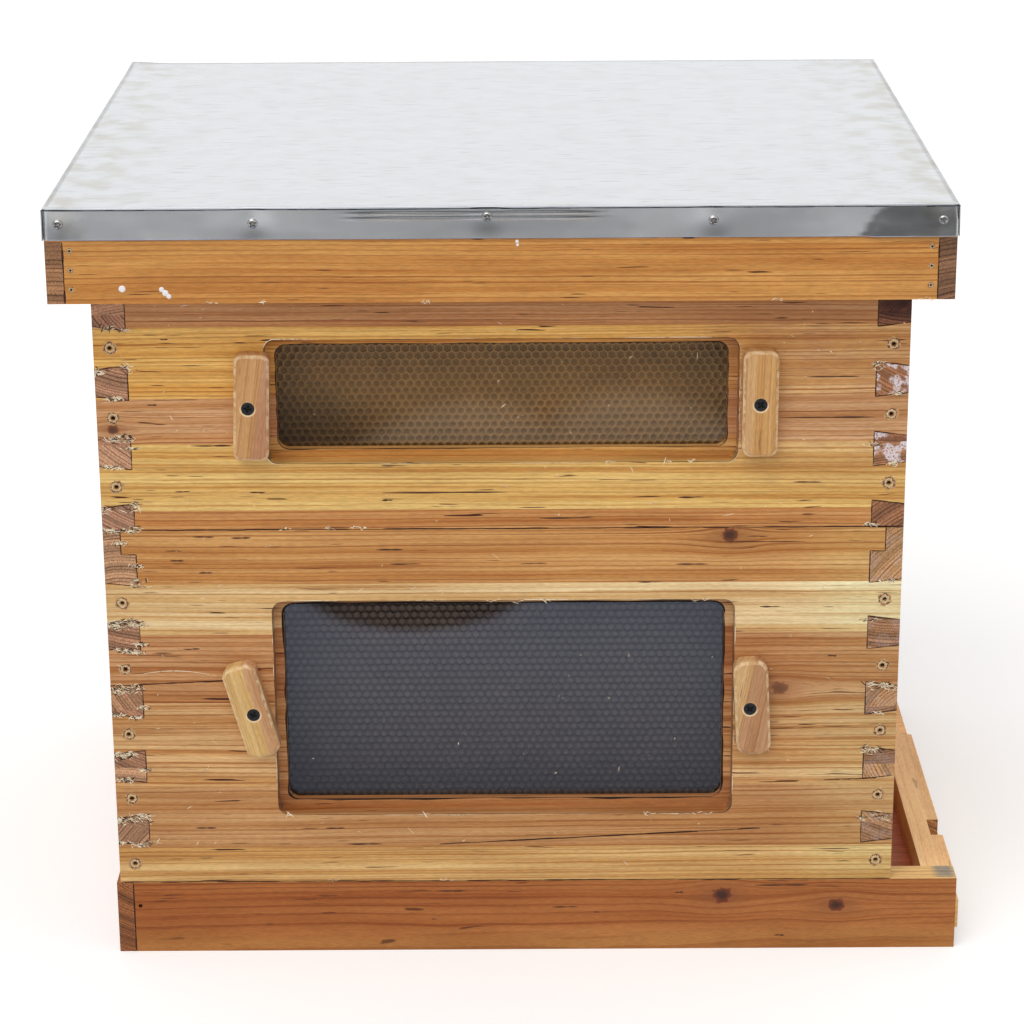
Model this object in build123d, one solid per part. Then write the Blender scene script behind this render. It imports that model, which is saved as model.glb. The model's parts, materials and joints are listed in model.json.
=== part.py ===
from build123d import *
import os
from math import cos, pi, radians, tan

# A ten-frame hive of dovetailed fir boards: bottom board, brood box, honey super, inner cover and
# telescoping outer cover. Millimetres, +Z up, +X towards the entrance, -Y the side with the windows.
# The origin is on the ground, under the middle of the whole hive.

# Hive body: two boxes of the same plan
BODY_LENGTH = 505.0
BODY_WIDTH = 413.0
BROOD_HEIGHT = 244.5
SUPER_HEIGHT = 168.3
SIDE_BOARD = 20.0
END_BOARD = 20.5

# Rebate along the top of the end boards, on which the frames hang
REST_HEIGHT = 16.0
REST_DEPTH = 9.5

# Dovetailed corners: pins on the end boards, tails on the side boards, measured halfway along the flare
PIN_HEIGHT = 20.0
PIN_PITCH = 45.2
PIN_FLARE_DEG = 7.0
THINNEST_PIN = 6.0
JOINT_GAP = 0.2

# Nails through the tails and the bottom rails, set below the surface
NAIL_DIAMETER = 2.8
NAIL_LENGTH = 45.0
NAIL_SET = 2.5
NAIL_FIT = 0.1
NAIL_FACES = 6
RAIL_NAIL_ABOVE_FLOOR = 4.0

# Hand holds, scooped by a round cutter
SCOOP_RADIUS = 100.0
SCOOP_DEPTH = 11.0
SCOOP_LIP = 8.0
SCOOP_RUNOUT = 26.0
SCOOP_BELOW_TOP = 72.0

# Windows: a clear opening behind a stepped recess for a shutter, with a pane let into the inner face
WINDOW_WIDTH = 282.0
BROOD_WINDOW_HEIGHT = 136.0
SUPER_WINDOW_HEIGHT = 68.0
WINDOW_CORNER = 7.0
WINDOW_LIP = 5.0
RECESS_LEDGE = 6.0
RECESS_CORNER = 7.0
PANE_THICKNESS = 3.0
PANE_LAP = 8.0
PANE_FIT = 0.3

# Turn buttons beside the windows, each on one countersunk screw
BROOD_BUTTON_LENGTH = 64.0
SUPER_BUTTON_LENGTH = 68.0
BUTTON_WIDTH = 22.0
BUTTON_THICKNESS = 11.5
BUTTON_CORNER = 3.5
BUTTON_EASE = 2.0
BUTTON_CLEARANCE = 0.3
BUTTON_SIDE_GAP = 0.6
# The left and the right button of a box, fixed by hand: its lean in degrees with its head towards
# the left, how far its screw stands off its middle, across and along, and how far the screw stands
# off its even place beside the window, to the right and up
SUPER_BUTTONS = ((-2.0, -2.0, 0.0, 1.4, -0.7), (0.0, 0.0, 0.0, 1.4, 0.0))
BROOD_BUTTONS = ((15.5, 1.0, -2.0, -1.7, 1.0), (3.0, -1.5, 0.0, -1.4, 3.4))
SCREW_FACES = 8
SCREW_HEAD_DIAMETER = 8.0
SCREW_HEAD_DEPTH = 3.0
SCREW_SHANK_DIAMETER = 3.8
SCREW_BITE = 15.0
SCREW_FIT = 0.1

# Frames: top bar with lugs, self-spacing end bars, bottom bar, and a sheet of comb foundation
LUG_CLEARANCE = 0.5
TOP_BEE_SPACE = 6.4
END_BEE_SPACE = 8.5
BROOD_FRAME_LIFT = 6.1
SUPER_FRAME_LIFT = 2.9
TOP_BAR_SPACE = 9.8
TOP_BAR_HEIGHT = 19.0
TOP_BAR_NECKING = 1.7
END_BAR_WIDTH = 35.0
END_BAR_WAIST = 3.25
END_BAR_THICKNESS = 9.5
END_BAR_DROP = 6.0
END_BAR_SHOULDER = 72.0
END_BAR_TAPER = 14.0
END_BAR_CHEEK = 4.75
BOTTOM_BAR_HEIGHT = 9.5
FRAME_FIT = 0.1
FRAME_SPACING_GAP = 0.2
FOUNDATION_THICKNESS = 4.0
FOUNDATION_GROOVE = 4.0
FOUNDATION_FIT = 0.3

# Bottom board: two side rails and a back cleat round a grooved-in floor, open at the entrance
FLOOR_CLEARANCE = 9.0
RAIL_THICKNESS = 19.0
CLEAT_THICKNESS = 19.0
FLOOR_THICKNESS = 20.0
FLOOR_GROOVE = 8.0
ENTRANCE_HEIGHT = 21.0
LANDING_REACH = 43.5
BACK_REACH = 2.5
FLOOR_LIP = 3.5
CORNER_LAP = 10.6

# Entrance reducer: a loose notched stick between the rails
REDUCER_WIDTH = 21.0
REDUCER_HEADROOM = 1.0
REDUCER_END_GAP = 0.5
REDUCER_NOTCH_DEPTH = 8.0
SMALL_NOTCH_LENGTH = 24.5
SMALL_NOTCH_FROM_NEAR_END = 50.0
LONG_NOTCH_LENGTH = 100.0
LONG_NOTCH_FROM_FAR_END = 51.0

# Inner cover: a thin panel with an oblong hole, under four rim strips
INNER_PANEL = 6.0
INNER_RIM_HEIGHT = 19.4
INNER_RIM_WIDTH = 20.0
ESCAPE_LENGTH = 90.0
ESCAPE_WIDTH = 32.0

# Outer cover: a panel on a rim that telescopes over the super, with a galvanised sheet folded over it
COVER_PANEL = 20.0
COVER_RIM = 19.5
COVER_PLAY_LENGTHWISE = 3.0
COVER_PLAY_CROSSWISE = 7.0
COVER_OVERLAP = 13.2
SHEET = 0.5
SHEET_SLACK = 0.3
FLAP_SHORT_OF_RIM = 1.1

# Brads through the ends of the cover's long rim boards
BRAD_DIAMETER = 1.4
BRAD_LENGTH = 32.0
BRAD_SET = 0.5
BRADS_PER_CORNER = 3
BRAD_PITCH = 12.0
LOWEST_BRAD = 9.0

# Pan-head screws through the flap: near the corners, between them, and on the short sides
FLAP_SCREW_HEAD_DIAMETER = 6.4
FLAP_SCREW_HEAD_HEIGHT = 1.8
FLAP_SCREW_HEAD_TAPER = 40.0
FLAP_SCREW_SHANK = 2.6
FLAP_SCREW_LENGTH = 15.0
FLAP_SCREW_CORNER_INSET = 9.0
# Place along the flap from its middle, and height above the flap's middle line
FLAP_SCREWS_BETWEEN = ((-149.0, 0.0), (-8.0, 3.5), (128.0, 0.5))
FLAP_SCREW_SHORT_SIDE = 110.0

# Heights and plan sizes that follow from the sizes above
FLOOR_TOP = FLOOR_CLEARANCE + FLOOR_THICKNESS
RAIL_TOP = FLOOR_TOP + ENTRANCE_HEIGHT
BROOD_TOP = RAIL_TOP + BROOD_HEIGHT
SUPER_TOP = BROOD_TOP + SUPER_HEIGHT
INNER_PANEL_TOP = SUPER_TOP + INNER_PANEL
INNER_TOP = INNER_PANEL_TOP + INNER_RIM_HEIGHT
COVER_TOP = INNER_TOP + COVER_PANEL
ROOF_TOP = COVER_TOP + SHEET
HALF_LENGTH = BODY_LENGTH / 2
HALF_WIDTH = BODY_WIDTH / 2
INNER_HALF_WIDTH = HALF_WIDTH - SIDE_BOARD
COVER_HALF_LENGTH = HALF_LENGTH + COVER_PLAY_LENGTHWISE + COVER_RIM
COVER_HALF_WIDTH = HALF_WIDTH + COVER_PLAY_CROSSWISE + COVER_RIM
SHEET_HALF_LENGTH = COVER_HALF_LENGTH + SHEET_SLACK + SHEET
SHEET_HALF_WIDTH = COVER_HALF_WIDTH + SHEET_SLACK + SHEET
SHEET_FLAP = COVER_PANEL + SHEET - FLAP_SHORT_OF_RIM
RECESS_DEPTH = SIDE_BOARD - WINDOW_LIP - PANE_THICKNESS
RECESS_WIDTH = WINDOW_WIDTH + 2 * RECESS_LEDGE
BUTTON_FRONT = -HALF_WIDTH - BUTTON_CLEARANCE - BUTTON_THICKNESS
BUTTON_PIVOT = RECESS_WIDTH / 2 + BUTTON_SIDE_GAP + BUTTON_WIDTH / 2
FRAME_LENGTH = BODY_LENGTH - 2 * END_BOARD - 2 * END_BEE_SPACE
FRAME_PITCH = END_BAR_WIDTH + FRAME_SPACING_GAP
FRAME_COUNT = int(2 * INNER_HALF_WIDTH // FRAME_PITCH)
LUG_HEIGHT = REST_HEIGHT - TOP_BEE_SPACE
TOP_BAR_WIDTH = FRAME_PITCH - TOP_BAR_SPACE
TOP_BAR_NECK = TOP_BAR_WIDTH - 2 * TOP_BAR_NECKING
END_BAR_NARROW = END_BAR_WIDTH - 2 * END_BAR_WAIST
BOTTOM_BAR_WIDTH = END_BAR_NARROW - 2 * END_BAR_CHEEK
REDUCER_HEIGHT = ENTRANCE_HEIGHT - REDUCER_HEADROOM
BACK_END = -HALF_LENGTH - BACK_REACH
FRONT_END = HALF_LENGTH + LANDING_REACH

# The body's middle stands off the middle of the whole hive, because the landing reaches out at the front
REACH_BACK = max(-BACK_END, SHEET_HALF_LENGTH + FLAP_SCREW_HEAD_HEIGHT)
REACH_FRONT = max(FRONT_END + FLOOR_LIP, SHEET_HALF_LENGTH + FLAP_SCREW_HEAD_HEIGHT)
BODY_MIDDLE_X = (REACH_BACK - REACH_FRONT) / 2


def block(low, high):
    """A box between two opposite corners."""
    size = [high[axis] - low[axis] for axis in range(3)]
    return Pos(*low) * Box(*size, align=(Align.MIN, Align.MIN, Align.MIN))


def slab_along_y(sketch, y_one, y_other):
    """A sketch drawn in X and Z, given its thickness from one Y to another."""
    y_low, y_high = sorted((y_one, y_other))
    plane = Plane(origin=(0, y_low, 0), x_dir=(1, 0, 0), z_dir=(0, -1, 0))
    return extrude(plane * sketch, y_high - y_low, dir=(0, 1, 0))


def prism_along_y(outline, y_one, y_other):
    """A straight prism of an X-Z outline, from one Y to another."""
    return slab_along_y(Polygon(*outline, align=None), y_one, y_other)


def prism_along_x(outline, x_low, x_high):
    """A straight prism of a Y-Z outline, from one X to another."""
    plane = Plane(origin=(x_low, 0, 0), x_dir=(0, 1, 0), z_dir=(1, 0, 0))
    return extrude(plane * Polygon(*outline, align=None), x_high - x_low, dir=(1, 0, 0))


def rod_along_y(x, z, radius, y_one, y_other):
    """A thin rod along Y, with flats instead of a round."""
    return slab_along_y(Pos(x, z) * RegularPolygon(radius, NAIL_FACES), y_one, y_other)


def taper_along_y(y_one, radius_one, y_other, radius_other, to_corners):
    """A thin taper along Y with plain flats instead of a round, between two radii, both measured to the
    corners or both to the flats."""
    reach = 1 if to_corners else 1 / cos(pi / SCREW_FACES)
    ends = []
    for y, radius in ((y_one, radius_one), (y_other, radius_other)):
        corners = [place.position for place in PolarLocations(radius * reach, SCREW_FACES)]
        ends.append([(corner.X, y, corner.Y) for corner in corners])
    one, other = ends
    flats = [(one[i - 1], one[i], other[i], other[i - 1]) for i in range(SCREW_FACES)]
    faces = [make_face(Polyline(*outline, close=True)).face() for outline in flats + ends]
    return Solid(Shell(faces))


def screw_bore(x, z, y_one, y_other):
    """A button screw's hole along Y, its flats clear of the screw's corners however the two are turned."""
    radius = SCREW_SHANK_DIAMETER / 2 + SCREW_FIT
    outline = RegularPolygon(radius, SCREW_FACES, major_radius=False)
    return slab_along_y(Pos(x, z) * outline, y_one, y_other)


def rounded_slab(width, height, corner, z_middle, y_one, y_other):
    """A slab standing in the X-Z plane with rounded corners."""
    return slab_along_y(Pos(0, z_middle) * RectangleRounded(width, height, corner), y_one, y_other)


def driven(places, side, face, diameter, length, below):
    """Nails driven along Y into a face and set below it, and the holes that they fill."""
    outer = side * (face - below)
    inner = side * (face - below - length)
    foot = side * (face - below - length - NAIL_FIT)
    bore = diameter / 2 + NAIL_FIT
    nails = [rod_along_y(x, z, diameter / 2, outer, inner) for x, z in places]
    holes = [rod_along_y(x, z, bore, side * face, foot) for x, z in places]
    return nails, holes


def pin_spans(height):
    """Upper and lower edge of each pin above the box's bottom, from the top pin down."""
    lower = height - REST_HEIGHT - PIN_HEIGHT
    spans = [(height, lower)]
    upper = lower - (PIN_PITCH - PIN_HEIGHT)
    while upper > THINNEST_PIN:
        lower = upper - PIN_HEIGHT
        if lower < THINNEST_PIN:
            lower = 0.0
        spans.append((upper, lower))
        upper = lower - (PIN_PITCH - PIN_HEIGHT)
    return spans


def tail_middles(height):
    """Height of the middle of each tail above the box's bottom."""
    spans = pin_spans(height)
    next_uppers = [upper for upper, lower in spans[1:]] + [0.0]
    gaps = [(lower, upper) for (_, lower), upper in zip(spans, next_uppers)]
    return [(lower + upper) / 2 for lower, upper in gaps if lower > upper]


def pins(base, height, end, gap, y_low, y_high):
    """The pins of one corner, each larger all round by a gap: trapezoids that widen inwards, the top
    one cut away above the frame rest."""
    flare = END_BOARD * tan(radians(PIN_FLARE_DEG)) / 2
    root = END_BOARD + gap
    tongue = END_BOARD - REST_DEPTH + gap
    rest = height - REST_HEIGHT + gap
    shapes = []
    for index, (upper, lower) in enumerate(pin_spans(height)):
        lower_flare = flare if lower > 0 else 0.0
        low = lower - gap
        high = upper + gap
        outline = [(root, low - lower_flare), (0, low + lower_flare)]
        if index == 0:
            outline += [(0, high), (tongue, high), (tongue, rest), (root, rest)]
        else:
            outline += [(0, high - flare), (root, high + flare)]
        placed = [(end * (HALF_LENGTH - inset), base + z) for inset, z in outline]
        shapes.append(prism_along_y(placed, y_low, y_high))
    return shapes


def corner_nails(base, height, side):
    """Nails through the tails of one long board into the end boards, and their holes."""
    across = HALF_LENGTH - END_BOARD / 2
    places = [(end * across, base + z) for end in (-1, 1) for z in tail_middles(height)]
    return driven(places, side, HALF_WIDTH, NAIL_DIAMETER, NAIL_LENGTH, NAIL_SET)


def scoop_cutter():
    """A hand hold's cutter with its axis upright: a round lip that slopes away below."""
    foot = -SCOOP_LIP - SCOOP_RUNOUT
    bare = SCOOP_RADIUS - SCOOP_DEPTH
    outline = [(0, 0), (SCOOP_RADIUS, 0), (SCOOP_RADIUS, -SCOOP_LIP), (bare, foot), (0, foot)]
    return revolve(Plane.XZ * Polygon(*outline, align=None), Axis.Z)


def side_board(base, height, side):
    """A long board whose ends are cut to tails, with the nail holes."""
    y_low, y_high = sorted((side * HALF_WIDTH, side * INNER_HALF_WIDTH))
    board = block((-HALF_LENGTH, y_low, base), (HALF_LENGTH, y_high, base + height))
    sockets = [pin for end in (-1, 1) for pin in pins(base, height, end, JOINT_GAP, y_low, y_high)]
    _, holes = corner_nails(base, height, side)
    return board - sockets - holes


def window_side(base, height, window_height, screws):
    """The near board: recess, clear opening, seat for the pane and holes for the button screws."""
    face = -HALF_WIDTH
    middle = base + height / 2
    recess_height = window_height + 2 * RECESS_LEDGE
    seat_width = WINDOW_WIDTH + 2 * PANE_LAP
    seat_height = window_height + 2 * PANE_LAP
    recess = rounded_slab(RECESS_WIDTH, recess_height, RECESS_CORNER, middle, face, face + RECESS_DEPTH)
    opening = rounded_slab(WINDOW_WIDTH, window_height, WINDOW_CORNER, middle, face, face + SIDE_BOARD)
    seat_face = face + SIDE_BOARD - PANE_THICKNESS
    seat = rounded_slab(seat_width, seat_height, WINDOW_CORNER, middle, seat_face, face + SIDE_BOARD)
    foot = face + SCREW_BITE + SCREW_FIT
    holes = [screw_bore(x, z, face, foot) for x, z in screws]
    return side_board(base, height, -1) - [recess, opening, seat] - holes


def window_pane(base, height, window_height):
    """The clear pane, flush with the board's inner face."""
    width = WINDOW_WIDTH + 2 * (PANE_LAP - PANE_FIT)
    tall = window_height + 2 * (PANE_LAP - PANE_FIT)
    inner = -HALF_WIDTH + SIDE_BOARD
    return rounded_slab(width, tall, WINDOW_CORNER, base + height / 2, inner - PANE_THICKNESS, inner)


def far_side(base, height):
    """The far board, with a hand hold."""
    scoop_y = HALF_WIDTH + SCOOP_RADIUS - SCOOP_DEPTH
    scoop = Pos(0, scoop_y, base + height - SCOOP_BELOW_TOP) * scoop_cutter()
    return side_board(base, height, 1) - scoop


def end_board(base, height, end):
    """A short board: pins at both ends, the frame rest inside, a hand hold outside and nail holes."""
    x_low, x_high = sorted((end * HALF_LENGTH, end * (HALF_LENGTH - END_BOARD)))
    board = block((x_low, -INNER_HALF_WIDTH, base), (x_high, INNER_HALF_WIDTH, base + height))
    board += pins(base, height, end, 0, -HALF_WIDTH, -INNER_HALF_WIDTH)
    board += pins(base, height, end, 0, INNER_HALF_WIDTH, HALF_WIDTH)
    rest_inner = HALF_LENGTH - END_BOARD
    rest_low, rest_high = sorted((end * rest_inner, end * (rest_inner + REST_DEPTH)))
    top = base + height
    rest = block((rest_low, -INNER_HALF_WIDTH, top - REST_HEIGHT), (rest_high, INNER_HALF_WIDTH, top))
    scoop_x = end * (HALF_LENGTH + SCOOP_RADIUS - SCOOP_DEPTH)
    scoop = Pos(scoop_x, 0, top - SCOOP_BELOW_TOP) * scoop_cutter()
    for side in (-1, 1):
        _, holes = corner_nails(base, height, side)
        board -= holes
    return board - rest - scoop


def button_screw(x, z):
    """A countersunk screw through a turn button into the box, its head flush with the button."""
    shank = SCREW_SHANK_DIAMETER / 2
    head_foot = BUTTON_FRONT + SCREW_HEAD_DEPTH
    tip = -HALF_WIDTH + SCREW_BITE
    head = taper_along_y(BUTTON_FRONT, SCREW_HEAD_DIAMETER / 2, head_foot, shank, to_corners=True)
    rod = slab_along_y(RegularPolygon(shank, SCREW_FACES), head_foot, tip)
    return Pos(x, 0, z) * (head + rod)


def turn_button(x, z, length, setting):
    """A turn button with clipped corners and eased front edges, drilled off its middle for the screw."""
    lean, across, along, *_ = setting
    back = BUTTON_FRONT + BUTTON_THICKNESS
    outline = chamfer(Rectangle(BUTTON_WIDTH, length).vertices(), BUTTON_CORNER)
    body = slab_along_y(outline, BUTTON_FRONT, back)
    body = chamfer(body.edges().group_by(Axis.Y)[0], BUTTON_EASE)
    bore = SCREW_SHANK_DIAMETER / 2 + SCREW_FIT
    rim = SCREW_HEAD_DIAMETER / 2 + BUTTON_CLEARANCE
    sink_foot = BUTTON_FRONT + SCREW_HEAD_DEPTH + BUTTON_CLEARANCE
    sink = taper_along_y(BUTTON_FRONT, rim, sink_foot, bore, to_corners=False)
    body = Pos(-across, 0, -along) * body - [sink, screw_bore(0, 0, BUTTON_FRONT, back)]
    return Pos(x, 0, z) * Rot(0, -lean, 0) * body


def button_screw_places(middle, settings):
    """Where the screws of the left and the right button go in, in X and Z."""
    evenly = (-BUTTON_PIVOT, BUTTON_PIVOT)
    return [(x + aside, middle + above) for x, (*_, aside, above) in zip(evenly, settings)]


def hive_box(name, base, height, window_height, button_length, settings):
    """One box of the hive, as a table of named pieces."""
    screws = button_screw_places(base + height / 2, settings)
    left_button, right_button = [
        turn_button(x, z, button_length, setting) for (x, z), setting in zip(screws, settings)
    ]
    near_nails, _ = corner_nails(base, height, -1)
    far_nails, _ = corner_nails(base, height, 1)
    return {
        f"{name}_side_near": window_side(base, height, window_height, screws),
        f"{name}_side_far": far_side(base, height),
        f"{name}_end_front": end_board(base, height, 1),
        f"{name}_end_back": end_board(base, height, -1),
        f"{name}_window_pane": window_pane(base, height, window_height),
        f"{name}_corner_nails": Compound(near_nails + far_nails),
        f"{name}_button_screws": Compound([button_screw(x, z) for x, z in screws]),
        f"{name}_button_left": left_button,
        f"{name}_button_right": right_button,
    }


def top_bar(frame_height):
    """A top bar: deep between the end bars, necked where they clasp it, with thin lugs outside them."""
    half = HALF_LENGTH - END_BOARD + REST_DEPTH - LUG_CLEARANCE
    frame = FRAME_LENGTH / 2
    inside = frame - END_BAR_THICKNESS
    top, lug, foot = frame_height, frame_height - LUG_HEIGHT, frame_height - TOP_BAR_HEIGHT
    right_side = [(half, top), (half, lug), (frame, lug), (frame, foot)]
    left_side = [(-x, z) for x, z in reversed(right_side)]
    side_view = prism_along_y(right_side + left_side, -TOP_BAR_WIDTH / 2, TOP_BAR_WIDTH / 2)
    body = block((-inside, -TOP_BAR_WIDTH / 2, foot), (inside, TOP_BAR_WIDTH / 2, top))
    neck = block((-half, -TOP_BAR_NECK / 2, foot), (half, TOP_BAR_NECK / 2, top))
    groove = foundation_slot(foot, foot + FOUNDATION_GROOVE)
    return (side_view & (body + neck)) - groove


def foundation_slot(z_low, z_high):
    """The groove in a top or bottom bar that takes an edge of the foundation."""
    inside = FRAME_LENGTH / 2 - END_BAR_THICKNESS
    half = FOUNDATION_THICKNESS / 2 + FRAME_FIT
    return block((-inside, -half, z_low), (inside, half, z_high))


def end_bar(frame_height, end):
    """An end bar: wide shoulders space the frames, slots take the top bar and the bottom bar."""
    top = frame_height - END_BAR_DROP
    notch = TOP_BAR_NECK / 2 + FRAME_FIT
    slot = BOTTOM_BAR_WIDTH / 2 + FRAME_FIT
    wide, narrow = END_BAR_WIDTH / 2, END_BAR_NARROW / 2
    shoulder = top - END_BAR_SHOULDER
    notch_floor = frame_height - TOP_BAR_HEIGHT
    right_side = [
        (slot, BOTTOM_BAR_HEIGHT),
        (slot, 0),
        (narrow, 0),
        (narrow, shoulder - END_BAR_TAPER),
        (wide, shoulder),
        (wide, top),
        (notch, top),
        (notch, notch_floor),
    ]
    left_side = [(-y, z) for y, z in reversed(right_side)]
    outer = end * FRAME_LENGTH / 2
    x_low, x_high = sorted((outer, outer - end * END_BAR_THICKNESS))
    return prism_along_x(right_side + left_side, x_low, x_high)


def bottom_bar():
    """A bottom bar, grooved for the foundation and let into the end bars."""
    half = FRAME_LENGTH / 2
    bar = block((-half, -BOTTOM_BAR_WIDTH / 2, 0), (half, BOTTOM_BAR_WIDTH / 2, BOTTOM_BAR_HEIGHT))
    return bar - foundation_slot(BOTTOM_BAR_HEIGHT - FOUNDATION_GROOVE, BOTTOM_BAR_HEIGHT)


def foundation(frame_height):
    """A sheet of comb foundation, standing in the bottom bar's groove and reaching into the top bar's."""
    half = FRAME_LENGTH / 2 - END_BAR_THICKNESS - FOUNDATION_FIT
    low = BOTTOM_BAR_HEIGHT - FOUNDATION_GROOVE
    high = frame_height - TOP_BAR_HEIGHT + FOUNDATION_GROOVE - FOUNDATION_FIT
    return block((-half, -FOUNDATION_THICKNESS / 2, low), (half, FOUNDATION_THICKNESS / 2, high))


def frame_set(name, base, height, lift):
    """The frames of one box, numbered from the window side, and their foundation sheets."""
    frame_height = height - REST_HEIGHT + LUG_HEIGHT - lift
    wood = [top_bar(frame_height), end_bar(frame_height, -1), end_bar(frame_height, 1), bottom_bar()]
    sheet = foundation(frame_height)
    first = -(FRAME_COUNT - 1) / 2 * FRAME_PITCH
    places = [Pos(0, first + index * FRAME_PITCH, base + lift) for index in range(FRAME_COUNT)]
    nodes = {}
    for number, place in enumerate(places, start=1):
        nodes[f"{name}_frame_{number:02d}"] = Compound([place * piece for piece in wood])
    nodes[f"{name}_foundation"] = Compound([place * sheet for place in places])
    return nodes


def lapped_board(x_outer, end, half_width, thickness, long_thickness, z_low, z_high):
    """A short board across an end, whose outer tongue laps past the ends of the long boards."""
    tongue_low, tongue_high = sorted((x_outer, x_outer - end * CORNER_LAP))
    body_low, body_high = sorted((x_outer, x_outer - end * thickness))
    tongue = block((tongue_low, -half_width, z_low), (tongue_high, half_width, z_high))
    inside = half_width - long_thickness
    body = block((body_low, -inside, z_low), (body_high, inside, z_high))
    return tongue + body


def bottom_board():
    """Rails, back cleat, floor and nails of the bottom board."""
    floor_back = BACK_END + max(CLEAT_THICKNESS - FLOOR_GROOVE, CORNER_LAP)
    floor_half = HALF_WIDTH - RAIL_THICKNESS + FLOOR_GROOVE
    floor_low = (floor_back, -floor_half, FLOOR_TOP - FLOOR_THICKNESS)
    floor = block(floor_low, (FRONT_END + FLOOR_LIP, floor_half, FLOOR_TOP))
    rail_low = (BACK_END + CORNER_LAP + JOINT_GAP, -HALF_WIDTH, 0)
    rail_high = (FRONT_END, -HALF_WIDTH + RAIL_THICKNESS, RAIL_TOP)
    rail = block(rail_low, rail_high) - floor
    cleat = lapped_board(BACK_END, -1, HALF_WIDTH, CLEAT_THICKNESS, RAIL_THICKNESS, 0, RAIL_TOP)
    places = [(BACK_END + (CORNER_LAP + CLEAT_THICKNESS) / 2, FLOOR_TOP + RAIL_NAIL_ABOVE_FLOOR)]
    near_nails, near_holes = driven(places, -1, HALF_WIDTH, NAIL_DIAMETER, NAIL_LENGTH, NAIL_SET)
    far_nails, far_holes = driven(places, 1, HALF_WIDTH, NAIL_DIAMETER, NAIL_LENGTH, NAIL_SET)
    rail -= near_holes
    return {
        "floor_board": floor,
        "rail_near": rail,
        "rail_far": mirror(rail, Plane.XZ),
        "back_cleat": cleat - floor - near_holes - far_holes,
        "rail_nails": Compound(near_nails + far_nails),
    }


def entrance_reducer():
    """The reducer stick, its two notches facing out of the entrance."""
    half = HALF_WIDTH - RAIL_THICKNESS - REDUCER_END_GAP
    top = FLOOR_TOP + REDUCER_HEIGHT
    stick = block((FRONT_END - REDUCER_WIDTH, -half, FLOOR_TOP), (FRONT_END, half, top))
    small_start = -half + SMALL_NOTCH_FROM_NEAR_END
    long_end = half - LONG_NOTCH_FROM_FAR_END
    notch_x = FRONT_END - REDUCER_NOTCH_DEPTH
    small = block((notch_x, small_start, FLOOR_TOP), (FRONT_END, small_start + SMALL_NOTCH_LENGTH, top))
    long = block((notch_x, long_end - LONG_NOTCH_LENGTH, FLOOR_TOP), (FRONT_END, long_end, top))
    return {"entrance_reducer": stick - small - long}


def inner_cover():
    """The inner cover's panel and rim strips."""
    panel = block((-HALF_LENGTH, -HALF_WIDTH, SUPER_TOP), (HALF_LENGTH, HALF_WIDTH, INNER_PANEL_TOP))
    escape = extrude(Plane.XY.offset(SUPER_TOP) * SlotOverall(ESCAPE_LENGTH, ESCAPE_WIDTH), INNER_PANEL)
    inside_y = HALF_WIDTH - INNER_RIM_WIDTH
    inside_x = HALF_LENGTH - INNER_RIM_WIDTH
    long_strip = block((-HALF_LENGTH, -HALF_WIDTH, INNER_PANEL_TOP), (HALF_LENGTH, -inside_y, INNER_TOP))
    short_strip = block((inside_x, -inside_y, INNER_PANEL_TOP), (HALF_LENGTH, inside_y, INNER_TOP))
    return {
        "inner_cover_panel": panel - escape,
        "inner_rim_near": long_strip,
        "inner_rim_far": mirror(long_strip, Plane.XZ),
        "inner_rim_front": short_strip,
        "inner_rim_back": mirror(short_strip, Plane.YZ),
    }


def flap_screw():
    """A pan-head screw lying along Y, its head's underside at the origin."""
    foot = FLAP_SCREW_HEAD_DIAMETER / 2
    crown = foot - FLAP_SCREW_HEAD_HEIGHT * tan(radians(FLAP_SCREW_HEAD_TAPER))
    head = taper_along_y(-FLAP_SCREW_HEAD_HEIGHT, crown, 0, foot, to_corners=True)
    return head + rod_along_y(0, 0, FLAP_SCREW_SHANK / 2, 0, FLAP_SCREW_LENGTH)


def flap_screw_places():
    """Places of the flap screws: along each long side, then two on each short side."""
    middle = ROOF_TOP - SHEET_FLAP / 2
    corner = COVER_HALF_LENGTH - FLAP_SCREW_CORNER_INSET
    long_side = [(-corner, 0.0), *FLAP_SCREWS_BETWEEN, (corner, 0.0)]
    places = []
    for turn in (0, 180):
        for along, rise in long_side:
            places.append(Pos(0, 0, middle + rise) * Rot(0, 0, turn) * Pos(along, -SHEET_HALF_WIDTH, 0))
    for turn in (90, 270):
        for along in (-FLAP_SCREW_SHORT_SIDE, FLAP_SCREW_SHORT_SIDE):
            places.append(Pos(0, 0, middle) * Rot(0, 0, turn) * Pos(along, -SHEET_HALF_LENGTH, 0))
    return places


def cover_brads(rim_low, side):
    """Brads through the ends of one long rim board into the short boards, and their holes."""
    across = COVER_HALF_LENGTH - (CORNER_LAP + COVER_RIM) / 2
    heights = [rim_low + LOWEST_BRAD + index * BRAD_PITCH for index in range(BRADS_PER_CORNER)]
    places = [(end * across, z) for end in (-1, 1) for z in heights]
    return driven(places, side, COVER_HALF_WIDTH, BRAD_DIAMETER, BRAD_LENGTH, BRAD_SET)


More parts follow.
